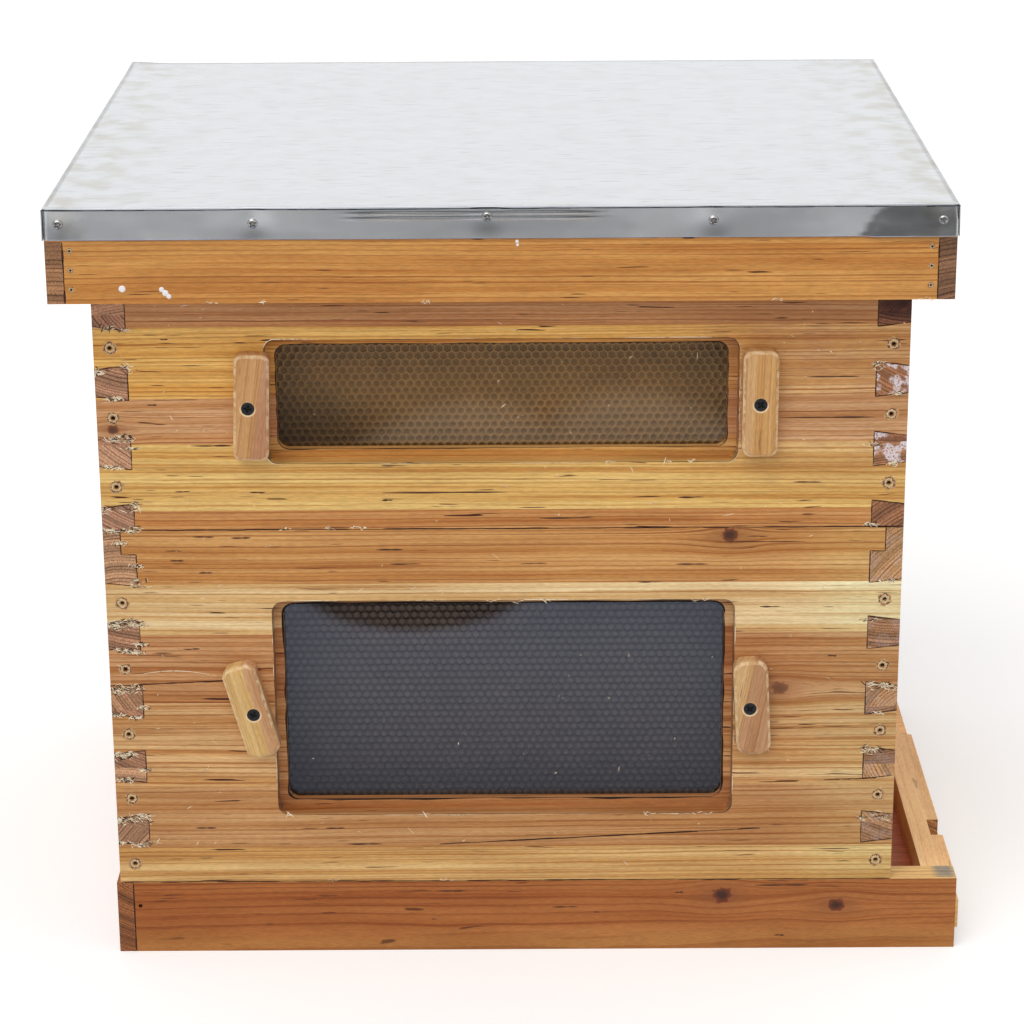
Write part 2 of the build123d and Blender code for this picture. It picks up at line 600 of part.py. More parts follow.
def cover_rim():
    """The rim that reaches down over the super: two long boards lapped by two short ones, and brads."""
    rim_low = SUPER_TOP - COVER_OVERLAP
    inside_y = COVER_HALF_WIDTH - COVER_RIM
    lap_x = COVER_HALF_LENGTH - CORNER_LAP - JOINT_GAP
    near_brads, near_holes = cover_brads(rim_low, -1)
    far_brads, far_holes = cover_brads(rim_low, 1)
    long_rim = block((-lap_x, -COVER_HALF_WIDTH, rim_low), (lap_x, -inside_y, INNER_TOP))
    long_rim -= near_holes
    short_rim = lapped_board(
        COVER_HALF_LENGTH, 1, COVER_HALF_WIDTH, COVER_RIM, COVER_RIM, rim_low, INNER_TOP
    )
    short_rim -= near_holes + far_holes
    return {
        "cover_rim_near": long_rim,
        "cover_rim_far": mirror(long_rim, Plane.XZ),
        "cover_rim_front": short_rim,
        "cover_rim_back": mirror(short_rim, Plane.YZ),
        "cover_brads": Compound(near_brads + far_brads),
    }


def cover_top():
    """The panel on the rim, the sheet folded over it, and the screws through the sheet's flap."""
    half_x, half_y = COVER_HALF_LENGTH, COVER_HALF_WIDTH
    panel = block((-half_x, -half_y, INNER_TOP), (half_x, half_y, COVER_TOP))
    flap_low = ROOF_TOP - SHEET_FLAP
    outer_x, outer_y = SHEET_HALF_LENGTH, SHEET_HALF_WIDTH
    hollow_x, hollow_y = outer_x - SHEET, outer_y - SHEET
    folded = block((-outer_x, -outer_y, flap_low), (outer_x, outer_y, ROOF_TOP))
    folded -= block((-hollow_x, -hollow_y, flap_low), (hollow_x, hollow_y, COVER_TOP))
    depth = FLAP_SCREW_LENGTH + NAIL_FIT
    bore = rod_along_y(0, 0, FLAP_SCREW_SHANK / 2 + NAIL_FIT, 0, depth)
    places = flap_screw_places()
    bores = [place * bore for place in places]
    return {
        "cover_panel": panel - bores,
        "cover_sheet": folded - bores,
        "cover_screws": Compound([place * flap_screw() for place in places]),
    }


pieces = {
    **bottom_board(),
    **entrance_reducer(),
    **hive_box(
        "brood", RAIL_TOP, BROOD_HEIGHT, BROOD_WINDOW_HEIGHT, BROOD_BUTTON_LENGTH, BROOD_BUTTONS
    ),
    **frame_set("brood", RAIL_TOP, BROOD_HEIGHT, BROOD_FRAME_LIFT),
    **hive_box(
        "super", BROOD_TOP, SUPER_HEIGHT, SUPER_WINDOW_HEIGHT, SUPER_BUTTON_LENGTH, SUPER_BUTTONS
    ),
    **frame_set("super", BROOD_TOP, SUPER_HEIGHT, SUPER_FRAME_LIFT),
    **inner_cover(),
    **cover_rim(),
    **cover_top(),
}

os.makedirs("parts", exist_ok=True)
for node, shape in pieces.items():
    export_step(Pos(BODY_MIDDLE_X, 0, 0) * shape, f"parts/{node}.step")
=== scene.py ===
import json

import bmesh
import bpy
import numpy as np
from mathutils import Matrix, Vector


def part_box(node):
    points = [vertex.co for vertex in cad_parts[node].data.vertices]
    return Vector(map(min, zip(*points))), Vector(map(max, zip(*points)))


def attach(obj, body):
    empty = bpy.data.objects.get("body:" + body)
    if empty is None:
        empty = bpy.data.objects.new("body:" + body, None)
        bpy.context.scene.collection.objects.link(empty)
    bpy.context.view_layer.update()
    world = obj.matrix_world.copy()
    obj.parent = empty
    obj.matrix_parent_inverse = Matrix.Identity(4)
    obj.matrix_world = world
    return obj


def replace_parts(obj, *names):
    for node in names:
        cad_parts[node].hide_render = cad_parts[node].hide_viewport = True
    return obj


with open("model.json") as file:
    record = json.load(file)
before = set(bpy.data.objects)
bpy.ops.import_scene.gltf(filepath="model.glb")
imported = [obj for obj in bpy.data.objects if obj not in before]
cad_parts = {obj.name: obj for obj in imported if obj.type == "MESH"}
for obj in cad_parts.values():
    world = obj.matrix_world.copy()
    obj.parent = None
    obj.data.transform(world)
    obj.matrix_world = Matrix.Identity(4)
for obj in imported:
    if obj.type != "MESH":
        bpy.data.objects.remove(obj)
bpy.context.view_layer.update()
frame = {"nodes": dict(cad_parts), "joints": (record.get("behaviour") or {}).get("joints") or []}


# Bottom board. Fir rails and a back cleat are grooved for the floor, nailed together and dipped in hot wax,
# which turns the wood red brown. The rails are paler near the ground.

def display(red, green, blue):
    """A colour given as display values from 0 to 255, in the linear values that shaders use."""
    shares = np.array([red, green, blue]) / 255
    linear = np.where(shares <= 0.04045, shares / 12.92, ((shares + 0.055) / 1.055) ** 2.4)
    return (*linear.tolist(), 1.0)


def put(tree, kind, inputs=(), **settings):
    """A shader node with its settings. Its inputs are sockets to link or values to set."""
    node = tree.nodes.new("ShaderNode" + kind)
    for name, value in settings.items():
        setattr(node, name, value)
    for key, value in dict(inputs).items():
        if isinstance(value, bpy.types.NodeSocket):
            tree.links.new(value, node.inputs[key])
        else:
            node.inputs[key].default_value = value
    return node


def calc(tree, operation, *values):
    """A sum, product or other operation on values."""
    return put(tree, "Math", dict(enumerate(values)), operation=operation).outputs[0]


def split(tree, vector):
    """The three parts of a vector or colour."""
    return put(tree, "SeparateXYZ", {0: vector}).outputs[:]


def join(tree, *parts):
    """A vector of three parts."""
    return put(tree, "CombineXYZ", dict(enumerate(parts))).outputs[0]


def length(tree, *parts):
    """The length of a vector of three parts."""
    return put(tree, "VectorMath", {0: join(tree, *parts)}, operation="LENGTH").outputs["Value"]


def scaled(tree, vector, value):
    """A vector made longer or shorter, or a colour made lighter or darker, by a value."""
    return put(tree, "VectorMath", {0: vector, "Scale": value}, operation="SCALE").outputs[0]


def stretched(tree, vector, scales):
    """A vector with each part scaled by a value of its own."""
    return put(tree, "VectorMath", {0: vector, 1: scales}, operation="MULTIPLY").outputs[0]


def spread(tree, value, from_low, from_high, to_low=0.0, to_high=1.0):
    """A value's place between two bounds, eased at both, carried over to two other bounds."""
    inputs = dict(enumerate((value, from_low, from_high, to_low, to_high)))
    return put(tree, "MapRange", inputs, interpolation_type="SMOOTHSTEP").outputs[0]


def mix(tree, share, first, second, blend="MIX"):
    """A share of one colour laid over another or, as a tint, multiplied into it."""
    return put(tree, "Mix", {0: share, 6: first, 7: second}, data_type="RGBA", blend_type=blend).outputs[2]


def noise(tree, vector, seed, detail=2.0):
    """Cloudy values round one half, one cloud to each unit of the vector."""
    inputs = {"Vector": vector, "W": seed, "Scale": 1.0, "Detail": detail}
    return put(tree, "TexNoise", inputs, noise_dimensions="4D").outputs[0]


CLOUD_LOW, CLOUD_HIGH = 0.3, 0.7


def vary(tree, cloud, low=0.0, high=1.0):
    """A cloudy value carried over from the bounds that it mostly keeps to two other bounds."""
    return spread(tree, cloud, CLOUD_LOW, CLOUD_HIGH, low, high)


def chance(tree, seed):
    """Three random values from 0 to 1 that hold wherever the seed is the same."""
    return split(tree, put(tree, "TexWhiteNoise", {"W": seed}, noise_dimensions="1D").outputs["Color"])


def steps(tree, share, stops):
    """A colour that changes in steps. Each stop gives the share from which its colour holds."""
    node = put(tree, "ValToRGB", {"Fac": share})
    node.color_ramp.interpolation = "CONSTANT"
    elements = node.color_ramp.elements
    elements.remove(elements[-1])
    elements[0].position, elements[0].color = stops[0]
    for position, colour in stops[1:]:
        elements.new(position).color = colour
    return node.outputs["Color"]


def oval(tree, x, y, middle, reach, inner=0.85, outer=1.1):
    """One inside an oval and nought outside it, with a soft edge between two shares of its reach."""
    across = calc(tree, "DIVIDE", calc(tree, "SUBTRACT", x, middle[0]), reach[0])
    along = calc(tree, "DIVIDE", calc(tree, "SUBTRACT", y, middle[1]), reach[1])
    return spread(tree, length(tree, across, along, 0.0), inner, outer, 1.0, 0.0)


def new_group(name, inputs, outputs):
    """An empty group of shader nodes, with the sockets that lead into it and out of it."""
    tree = bpy.data.node_groups.new(name, "ShaderNodeTree")
    for direction, sockets in (("INPUT", inputs), ("OUTPUT", outputs)):
        for label, kind in sockets.items():
            tree.interface.new_socket(label, in_out=direction, socket_type="NodeSocket" + kind)
    return tree, tree.nodes.new("NodeGroupInput").outputs, tree.nodes.new("NodeGroupOutput").inputs


def growth_group():
    """Fir as a solid. Rings stand round a pith at a place of its own for each seed. The ring count is the
    distance from the pith, with a slow wander and a quicker waver along the grain and years of more and
    less growth, over the ring pitch. Late wood darkens slowly through each ring and ends sharply. The other
    marks are clouds stretched along the grain: their scales are clouds to a metre along it and outwards
    from the pith, and a shift that sets them apart."""
    pith_reach, pith_least = 0.2, 0.03
    pith_depth, pith_shallow = 0.08, -0.01
    lean = 0.012
    wander_scale, wander_reach = (3.5, 18.0, 18.0), 0.004
    waver_scale, waver_reach = (16.0, 40.0, 40.0), 0.0016
    year_scale, year_reach = 70.0, 0.007
    ring_seed, ring_contrast, weakest_ring = 91.0, 1.3, 0.12
    late_start, late_full, late_end = 0.55, 0.93, 0.94
    cloud_scale, blotch_scale, patch_scale = (1.6, 190.0, 0.0), (40.0, 700.0, 7.0), (9.0, 90.0, 11.0)
    fibre_scale = (190.0, 1700.0, 1700.0)
    line_scale, line_bounds = (4.0, 750.0, 0.0), (0.56, 0.63)
    dash_scale, dash_bounds = (30.0, 700.0, 0.0), (0.67, 0.71)
    pocket_scale, pocket_bounds = (5.0, 60.0, 3.0), (0.42, 0.52)
    inputs = {"Grain": "Vector", "Seed": "Float", "Pitch": "Float"}
    outputs = dict.fromkeys(("Late", "Cloud", "Line", "Fibre", "Streak", "Blotch", "Patch"), "Float")
    tree, given, result = new_group("fir growth", inputs, outputs)
    seed = given["Seed"]
    along, through, across = split(tree, given["Grain"])

    def strayed(scales, reach):
        """How far a ring strays from round, by clouds in the wood."""
        cloud = noise(tree, stretched(tree, given["Grain"], scales), seed)
        return calc(tree, "MULTIPLY", calc(tree, "SUBTRACT", cloud, 0.5), reach)

    sideways, depth, slope = chance(tree, seed)
    from_middle = calc(tree, "SUBTRACT", sideways, 0.5)
    pith_side = calc(tree, "MULTIPLY", calc(tree, "SIGN", from_middle), pith_least)
    pith_across = calc(tree, "MULTIPLY_ADD", from_middle, pith_reach, pith_side)
    pith_through = calc(tree, "MULTIPLY_ADD", depth, pith_depth, pith_shallow)
    off_through = calc(tree, "SUBTRACT", through, pith_through)
    off_across = calc(tree, "SUBTRACT", across, pith_across)
    stray = calc(tree, "ADD", strayed(wander_scale, wander_reach), strayed(waver_scale, waver_reach))
    drift = calc(tree, "MULTIPLY", calc(tree, "SUBTRACT", slope, 0.5), calc(tree, "MULTIPLY", along, lean))
    round_pith = calc(tree, "ADD", length(tree, 0.0, off_through, off_across), stray)
    radius = calc(tree, "ADD", round_pith, drift)
    years = noise(tree, join(tree, calc(tree, "MULTIPLY", radius, year_scale), 0.0, 0.0), seed)
    grown = calc(tree, "MULTIPLY_ADD", calc(tree, "SUBTRACT", years, 0.5), year_reach, radius)
    turns = calc(tree, "DIVIDE", grown, given["Pitch"])
    part = calc(tree, "FRACT", turns)
    ring = calc(tree, "ADD", calc(tree, "FLOOR", turns), calc(tree, "MULTIPLY", seed, ring_seed))
    contrast = calc(tree, "POWER", chance(tree, ring)[0], ring_contrast)
    strength = calc(tree, "MULTIPLY_ADD", contrast, 1 - weakest_ring, weakest_ring)
    rise = spread(tree, part, late_start, late_full)
    fall = spread(tree, part, late_end, 1.0, 1.0, 0.0)
    unrolled = join(tree, along, radius, 1.0)

    def marks(scales, detail=1.0):
        """Clouds that follow the rings."""
        return noise(tree, stretched(tree, unrolled, scales), seed, detail)

    dash = spread(tree, marks(dash_scale), *dash_bounds)
    pocket = spread(tree, marks(pocket_scale), *pocket_bounds)
    values = {
        "Late": calc(tree, "MULTIPLY", calc(tree, "MULTIPLY", rise, fall), strength),
        "Cloud": marks(cloud_scale, 2.0),
        "Line": spread(tree, marks(line_scale), *line_bounds),
        "Fibre": noise(tree, stretched(tree, given["Grain"], fibre_scale), seed),
        "Streak": calc(tree, "MULTIPLY", dash, pocket),
        "Blotch": marks(blotch_scale, 3.0),
        "Patch": marks(patch_scale, 3.0),
    }
    for label, value in values.items():
        tree.links.new(value, result[label])
    return tree


def knot_group():
    """A knot, a little uneven. Rings bend round it, by a pull that fades as a bell curve of the distance
    from its middle."""
    knot_stretch, bend_stretch = 0.85, 0.45
    bend_reach, bend_strength = 2.2, 0.75
    lump_scale, lump_seed, lump_sizes = 300.0, 1.0, (0.82, 1.2)
    inputs = {"Grain": "Vector", "Along": "Float", "Across": "Float", "Radius": "Float"}
    tree, given, result = new_group("knot", inputs, {"Grain": "Vector", "Share": "Float", "Halo": "Float"})
    along, through, across = split(tree, given["Grain"])
    distance = length(tree, calc(tree, "MULTIPLY", given["Along"], knot_stretch), given["Across"], 0.0)
    lumps = vary(tree, noise(tree, scaled(tree, given["Grain"], lump_scale), lump_seed), *lump_sizes)
    aside = length(tree, calc(tree, "MULTIPLY", given["Along"], bend_stretch), given["Across"], 0.0)
    reach = calc(tree, "MULTIPLY", given["Radius"], bend_reach)
    square = calc(tree, "POWER", calc(tree, "DIVIDE", aside, reach), 2.0)
    bell = calc(tree, "EXPONENT", calc(tree, "MULTIPLY", square, -1.0))
    pull = calc(tree, "MULTIPLY", calc(tree, "MULTIPLY", bell, bend_strength), given["Across"])
    share = calc(tree, "DIVIDE", distance, given["Radius"])
    tree.links.new(join(tree, along, through, calc(tree, "SUBTRACT", across, pull)), result["Grain"])
    tree.links.new(calc(tree, "MULTIPLY", share, lumps), result["Share"])
    tree.links.new(calc(tree, "MULTIPLY", bell, bell), result["Halo"])
    return tree


FIR_GROWTH = growth_group()
KNOT = knot_group()
PALE_TINT = (1.24, 1.32, 1.40, 1.0)
BAND_TINT = (1.00, 0.86, 0.66, 1.0)
LATE_TINT = (0.60, 0.42, 0.28, 1.0)
LINE_TINT = (0.74, 0.56, 0.40, 1.0)
PATCH_PALE = (1.10, 1.13, 1.16, 1.0)
PATCH_RED = (0.92, 0.87, 0.82, 1.0)
END_TINT = (0.80, 0.84, 1.10, 1.0)
END_LATE_TINT = (0.30, 0.23, 0.20, 1.0)
RESIN = display(72, 30, 12)


def fir_group():
    """Fir's colour and relief: bands from pale to brown, thin brown lines, late wood that is darker and
    redder, short dashes of resin, fibres and blotches, and sawn ends in a shade of their own with dark
    rings. Figure is how strongly bands and lines show on a face, and End is one on a sawn end."""
    band_bounds = 0.34, 0.66
    line_strength, late_relief, ring_power = 0.8, 0.8, 0.6
    fibre_tones, blotch_tones = (0.89, 1.11), (0.96, 1.04)
    end_band_tones, end_fibre_tones = (1.25, 0.75), (0.62, 1.35)
    inputs = {"Grain": "Vector", "Seed": "Float", "Pitch": "Float", "Tone": "Color", "Figure": "Float",
              "End": "Float", "End Tint": "Color"}
    tree, given, result = new_group("fir", inputs, {"Colour": "Color", "Relief": "Float"})
    tone = given["Tone"]
    wood = {label: given[label] for label in ("Grain", "Seed", "Pitch")}
    growth = put(tree, "Group", wood, node_tree=FIR_GROWTH).outputs
    late, fibre = growth["Late"], growth["Fibre"]
    bands = spread(tree, growth["Cloud"], *band_bounds)
    pale, brown = (mix(tree, 1.0, tone, tint, "MULTIPLY") for tint in (PALE_TINT, BAND_TINT))
    face = mix(tree, bands, pale, brown)
    face = mix(tree, calc(tree, "MULTIPLY", growth["Line"], line_strength), face, LINE_TINT, "MULTIPLY")
    face = mix(tree, late, face, LATE_TINT, "MULTIPLY")
    face = mix(tree, growth["Streak"], face, RESIN)
    face = mix(tree, given["Figure"], tone, face)
    face = scaled(tree, face, vary(tree, fibre, *fibre_tones))
    face = scaled(tree, face, vary(tree, growth["Blotch"], *blotch_tones))
    face = mix(tree, 1.0, face, mix(tree, vary(tree, growth["Patch"]), PATCH_PALE, PATCH_RED), "MULTIPLY")
    end = mix(tree, 1.0, tone, given["End Tint"], "MULTIPLY")
    end = mix(tree, calc(tree, "POWER", late, ring_power), end, END_LATE_TINT, "MULTIPLY")
    end = scaled(tree, end, spread(tree, bands, 0.0, 1.0, *end_band_tones))
    end = scaled(tree, end, vary(tree, fibre, *end_fibre_tones))
    tree.links.new(mix(tree, given["End"], face, end), result["Colour"])
    tree.links.new(calc(tree, "ADD", fibre, calc(tree, "MULTIPLY", late, late_relief)), result["Relief"])
    return tree


FIR = fir_group()


def new_material(name, **inputs):
    """A material with one surface, as the material, its tree and the surface's inputs."""
    material = bpy.data.materials.new(name)
    material.use_nodes = True
    surface = material.node_tree.nodes["Principled BSDF"].inputs
    for label, value in inputs.items():
        surface[label.replace("_", " ")].default_value = value
    return material, material.node_tree, surface


def fir_surface(tree, surface, wood, marks=None):
    """A surface of fir, from what its group is given. Marks may be laid over the wood's colour."""
    roughness, gloss, relief_strength, relief_height = 0.5, 0.3, 0.35, 0.0004
    given = {"Figure": 1.0, "End": 0.0, "End Tint": END_TINT, **wood}
    look = put(tree, "Group", given, node_tree=FIR).outputs
    colour = marks(look["Colour"]) if marks else look["Colour"]
    tree.links.new(colour, surface["Base Color"])
    surface["Roughness"].default_value = roughness
    surface["Specular IOR Level"].default_value = gloss
    relief = {"Height": look["Relief"], "Strength": relief_strength, "Distance": relief_height}
    tree.links.new(put(tree, "Bump", relief).outputs[0], surface["Normal"])


def dress(material, *nodes):
    """CAD nodes shown in a material."""
    for node in nodes:
        for slot in frame["nodes"][node].material_slots:
            slot.material = material
    return material


KNOT_CORE = display(58, 34, 26)
KNOT_WOOD = display(114, 54, 30)
KNOT_HALO = display(140, 84, 48)
CHALK = display(224, 210, 212)


def glued(tree, strips, width, share, seed):
    """Strips glued side by side from a board's lower edge, each with its upper edge across the board and its
    tone. Returns the seed, the middle and the tone of the strip at a share of the board's width."""
    tops = [top / width for top, _ in strips]
    starts = [0.0, *tops[:-1]]
    seeds = np.random.default_rng(seed).random(len(strips))
    marks = [(start, (mark, (start + top) / 2, 0.0, 1.0)) for start, top, mark in zip(starts, tops, seeds)]
    strip_seed, strip_middle, _ = split(tree, steps(tree, share, marks))
    tones = [(start, display(*colour)) for start, (_, colour) in zip(starts, strips)]
    return strip_seed, strip_middle, steps(tree, share, tones)


def hazed(tree, tone, place, board, haze, seed):
    """A tone under cloudy haze. Each haze has the middle and reach of an oval along and across the board, two
    depths through the board between which it lies, a tone and a strength."""
    scale, detail, inner, cover = 60.0, 4.0, 0.3, (0.7, 1.0)
    along, through, across = board
    for middle, reach, (shallow, deep), colour, strength in haze:
        inside = oval(tree, along, across, middle, reach, inner)
        inside = calc(tree, "MULTIPLY", inside, calc(tree, "GREATER_THAN", through, shallow))
        inside = calc(tree, "MULTIPLY", inside, calc(tree, "LESS_THAN", through, deep))
        clouds = noise(tree, scaled(tree, place, scale), seed, detail)
        covered = calc(tree, "MULTIPLY", inside, vary(tree, clouds, *cover))
        tone = mix(tree, calc(tree, "MULTIPLY", covered, strength), tone, display(*colour))
    return tone


def knotted(tree, grain, board, knots):
    """Grain bent round knots. Each knot has a place along and across the board, a radius and how dark it is.
    Returns the grain, and the knots with their darkness."""
    along, _, across = board
    cores = []
    for knot_along, knot_across, radius, dark in knots:
        offsets = {
            "Along": calc(tree, "SUBTRACT", along, knot_along),
            "Across": calc(tree, "SUBTRACT", across, knot_across),
        }
        bent = put(tree, "Group", {"Grain": grain, "Radius": radius, **offsets}, node_tree=KNOT).outputs
        grain = bent["Grain"]
        cores.append((bent, dark))
    return grain, cores


def chalked(tree, colour, grain, across, end, chalk, seed):
    """Chalk in patches and specks on cut ends. It has a strength, and a middle and half width across the
    board."""
    patch_scale, patch_bounds = 110.0, (0.48, 0.58)
    speck_scale, speck_bounds = 900.0, (0.36, 0.5)
    strength, middle, half = chalk
    within = calc(tree, "COMPARE", across, middle, half)
    filler = calc(tree, "MULTIPLY", calc(tree, "MULTIPLY", within, strength), end)
    patches, specks = (noise(tree, scaled(tree, grain, size), seed) for size in (patch_scale, speck_scale))
    patches = spread(tree, patches, *patch_bounds, 0.0, filler)
    return mix(tree, calc(tree, "MULTIPLY", patches, spread(tree, specks, *speck_bounds)), colour, CHALK)


def with_knots(tree, colour, cores):
    """A colour with knots in it: a dark middle that fades to brown, and reddish wood round it."""
    core_bounds, knot_bounds, halo_strength = (0.25, 0.95), (0.8, 1.12), 0.6
    for core, dark in cores:
        inner = mix(tree, spread(tree, core["Share"], *core_bounds), KNOT_CORE, KNOT_WOOD)
        colour = mix(tree, calc(tree, "MULTIPLY", core["Halo"], halo_strength), colour, KNOT_HALO)
        colour = mix(tree, spread(tree, core["Share"], *knot_bounds, dark, 0.0), colour, inner)
    return colour


def tinted_by_wear_and_shade(tree, colour, parts, worn):
    """A colour tinted by wear and by painted shade. Each of these has an axis, the places on it where it
    starts and is full, and a tint."""
    for axis, start, full, tint in worn:
        past = spread(tree, parts["XYZ".index(axis)], start, full)
        colour = mix(tree, past, colour, (*tint, 1.0), "MULTIPLY")
    return colour


def fir(name, axes, nodes, strips, seed, pitch=0.0029, knots=(), end_shade=1.0, figure=1.0, chalk=(), worn=(),
        haze=()):
    """Fir for CAD boards. Axes name the directions along the grain, through the board and across it. Strips,
    knots, chalk, wear and painted shade, and haze are what the functions above take, with places from the
    object's origin."""
    end_facing = 0.6, 0.8
    low, high = np.array(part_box(nodes[0]))
    order = ["XYZ".index(axis) for axis in axes]
    middle = (low + high) / 2
    width = (high - low)[order[2]]
    material, tree, surface = new_material(name)
    place = put(tree, "TexCoord").outputs
    parts = split(tree, place["Object"])
    board = [parts[axis] for axis in order]
    along, through, across = (calc(tree, "SUBTRACT", parts[axis], middle[axis]) for axis in order)
    share = calc(tree, "MULTIPLY_ADD", across, 1 / width, 0.5)
    strip_seed, strip_middle, tone = glued(tree, strips, width, share, seed)
    tone = hazed(tree, tone, place["Object"], board, haze, seed)
    strip_across = calc(tree, "MULTIPLY", calc(tree, "SUBTRACT", share, strip_middle), width)
    grain, cores = knotted(tree, join(tree, along, through, strip_across), board, knots)
    wood_seed = calc(tree, "ADD", strip_seed, seed)
    facing = calc(tree, "ABSOLUTE", split(tree, place["Normal"])[order[0]])
    end = spread(tree, facing, *end_facing)

    def marked(colour):
        """Chalk, then knots, then wear and painted shade, laid over the wood."""
        if chalk:
            colour = chalked(tree, colour, grain, board[2], end, chalk, wood_seed)
        return tinted_by_wear_and_shade(tree, with_knots(tree, colour, cores), parts, worn)

    end_tint = np.multiply(END_TINT, end_shade).tolist()
    wood = {"Grain": grain, "Seed": wood_seed, "Pitch": pitch, "Tone": tone, "Figure": figure, "End": end,
            "End Tint": end_tint}
    fir_surface(tree, surface, wood, marked)
    return dress(material, *nodes)


# The rails' tops and the floor's front edge are worn to bare wood.
RAIL_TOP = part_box("rail_near")[1][2]
RAIL_WEAR = ("Z", RAIL_TOP - 0.0002, RAIL_TOP - 0.0001, (2.1, 3.8, 5.4))
RAIL_DIRT = ((0.278, RAIL_TOP), (0.009, 0.004), (-0.2045, -0.187), (77, 59, 48), 0.9)
REDUCER_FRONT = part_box("entrance_reducer")[1][0]
LANDING_WEAR = ("X", REDUCER_FRONT - 0.0095, REDUCER_FRONT - 0.0085, (1.9, 4.6, 5.4))
RAIL_PALE = ("Z", 0.022, 0.002, (1.10, 1.38, 1.48))
RAIL_FRONT = ("X", 0.05, 0.25, (1.05, 1.12, 1.16))
RAIL_KNOTS = ((0.1313, 0.0388, 0.0056, 0.9), (0.2065, 0.0311, 0.0047, 0.9))
RAIL_STRIPS = ((0.050, (162, 97, 48)),)
CLEAT_STRIPS = ((0.050, (164, 100, 50)),)
FLOOR_STRIPS = ((0.14, (186, 102, 64)), (0.28, (178, 94, 58)), (0.42, (184, 98, 62)))
fir("rail fir", "XYZ", ["rail_near", "rail_far"], RAIL_STRIPS, seed=11, knots=RAIL_KNOTS, figure=0.7,
    worn=(RAIL_WEAR, RAIL_PALE, RAIL_FRONT), haze=(RAIL_DIRT,))
fir("cleat fir", "YXZ", ["back_cleat"], CLEAT_STRIPS, seed=12, pitch=0.0017)
fir("floor fir", "XZY", ["floor_board"], FLOOR_STRIPS, seed=13, figure=0.6, worn=(LANDING_WEAR,))

STEEL_TONE = display(70, 66, 62)
nail_steel, _, _ = new_material("nail steel", Base_Color=STEEL_TONE, Metallic=0.8, Roughness=0.55)
dress(nail_steel, "rail_nails")


def lattice(rows, columns, closed=False):
    """Quads between the points of a grid, which are numbered row by row."""
    row = np.arange(rows - 1)[:, None] * columns
    column = np.arange(columns if closed else columns - 1)[None, :]
    following = (column + 1) % columns
    corners = [row + column, row + following, row + columns + following, row + columns + column]
    return np.stack(corners, -1).reshape(-1, 4)


def repeated(faces, copies, points):
    """The same faces for each of several copies of a shape."""
    return (np.arange(copies)[:, None, None] * points + faces).reshape(-1, faces.shape[1])


def make(name, points, faces, body, slot, material, grain=None, closed=False, smooth=True):
    """A piece made of points and faces, which rides on a body. Grain is a vector that each point carries for
    its material, such as its place in the wood."""
    mesh = bpy.data.meshes.new(name)
    mesh.from_pydata(points.reshape(-1, 3).tolist(), [], [face for block in faces for face in block.tolist()])
    if grain is not None:
        values = mesh.attributes.new("grain", "FLOAT_VECTOR", "POINT").data
        values.foreach_set("vector", grain.reshape(-1).astype(np.float32))
    if closed:
        shape = bmesh.new()
        shape.from_mesh(mesh)
        bmesh.ops.remove_doubles(shape, verts=shape.verts, dist=1e-6)
        bmesh.ops.recalc_face_normals(shape, faces=shape.faces)
        shape.to_mesh(mesh)
        shape.free()
    if smooth:
        mesh.shade_smooth()
    mesh.materials.append(material)
    piece = bpy.data.objects.new(name, mesh)
    bpy.context.collection.objects.link(piece)
    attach(piece, body)
    return piece


def ribbons(starts, ends, widths, lifts, bows, stations=5, tip=0.1):
    """Thin strips in a board's face. Each runs from its start to its end, swells from its tips to its
    width, bows upwards as half a sine wave and lifts off the face towards its end as a square."""
    share = np.linspace(0, 1, stations)[None, :]
    run = ends - starts
    line = starts[:, None] + run[:, None] * share[..., None]
    line[..., 1] -= lifts[:, None] * share ** 2
    line[..., 2] += bows[:, None] * np.sin(np.pi * share)
    sideways = np.stack([-run[:, 2], np.zeros(len(run)), run[:, 0]], -1)
    sideways /= np.linalg.norm(sideways, axis=1, keepdims=True)
    half = widths[:, None] / 2 * (tip + (1 - tip) * np.sin(np.pi * share))
    reach = sideways[:, None] * half[..., None]
    points = np.stack([line - reach, line + reach], 2)
    return points, repeated(lattice(stations, 2), len(starts), stations * 2)


SHADE_LINE, _, _ = new_material("shade line", Base_Color=display(66, 34, 18), Roughness=0.9)


def dark_lines(name, lines, width, body, slot, seed, pieces_each=4, material=SHADE_LINE, tip=0.6):
    """Dark gaps along lines in a board's face, each broken into overlapping lengths of uneven width."""
    lift = np.array([0.0, 0.00006, 0.0])
    overlap, least, most, waver, stations = 0.3, 0.5, 1.3, 0.0001, 7
    random = np.random.default_rng(seed)
    share = np.linspace(0, 1, pieces_each + 1)[None, :, None]
    cuts = lines[:, :1] + (lines[:, 1:] - lines[:, :1]) * share - lift
    past = overlap * (cuts[:, 1:] - cuts[:, :-1])
    past[:, -1] = 0.0
    starts, ends = cuts[:, :-1].reshape(-1, 3), (cuts[:, 1:] + past).reshape(-1, 3)
    count = len(starts)
    points, faces = ribbons(starts, ends, width * random.uniform(least, most, count), np.zeros(count),
                            random.normal(0, waver, count), stations, tip)
    return make(name, points, [faces], body, slot, material)


RESIN_POCKET, _, _ = new_material("resin pocket", Base_Color=display(82, 44, 22), Roughness=0.6)


def resin_marks(name, node, marks, body, slot, seed):
    """Dark pockets of resin in a CAD board's near face, each given by its two ends in X and its height."""
    width, tip = 0.001, 0.15
    starts, ends, heights = np.array(marks).T
    face = np.full(len(starts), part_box(node)[0][1])
    lines = np.stack([np.stack([starts, face, heights], -1), np.stack([ends, face, heights], -1)], 1)
    return dark_lines(name, lines, width, body, slot, seed, pieces_each=2, material=RESIN_POCKET, tip=tip)


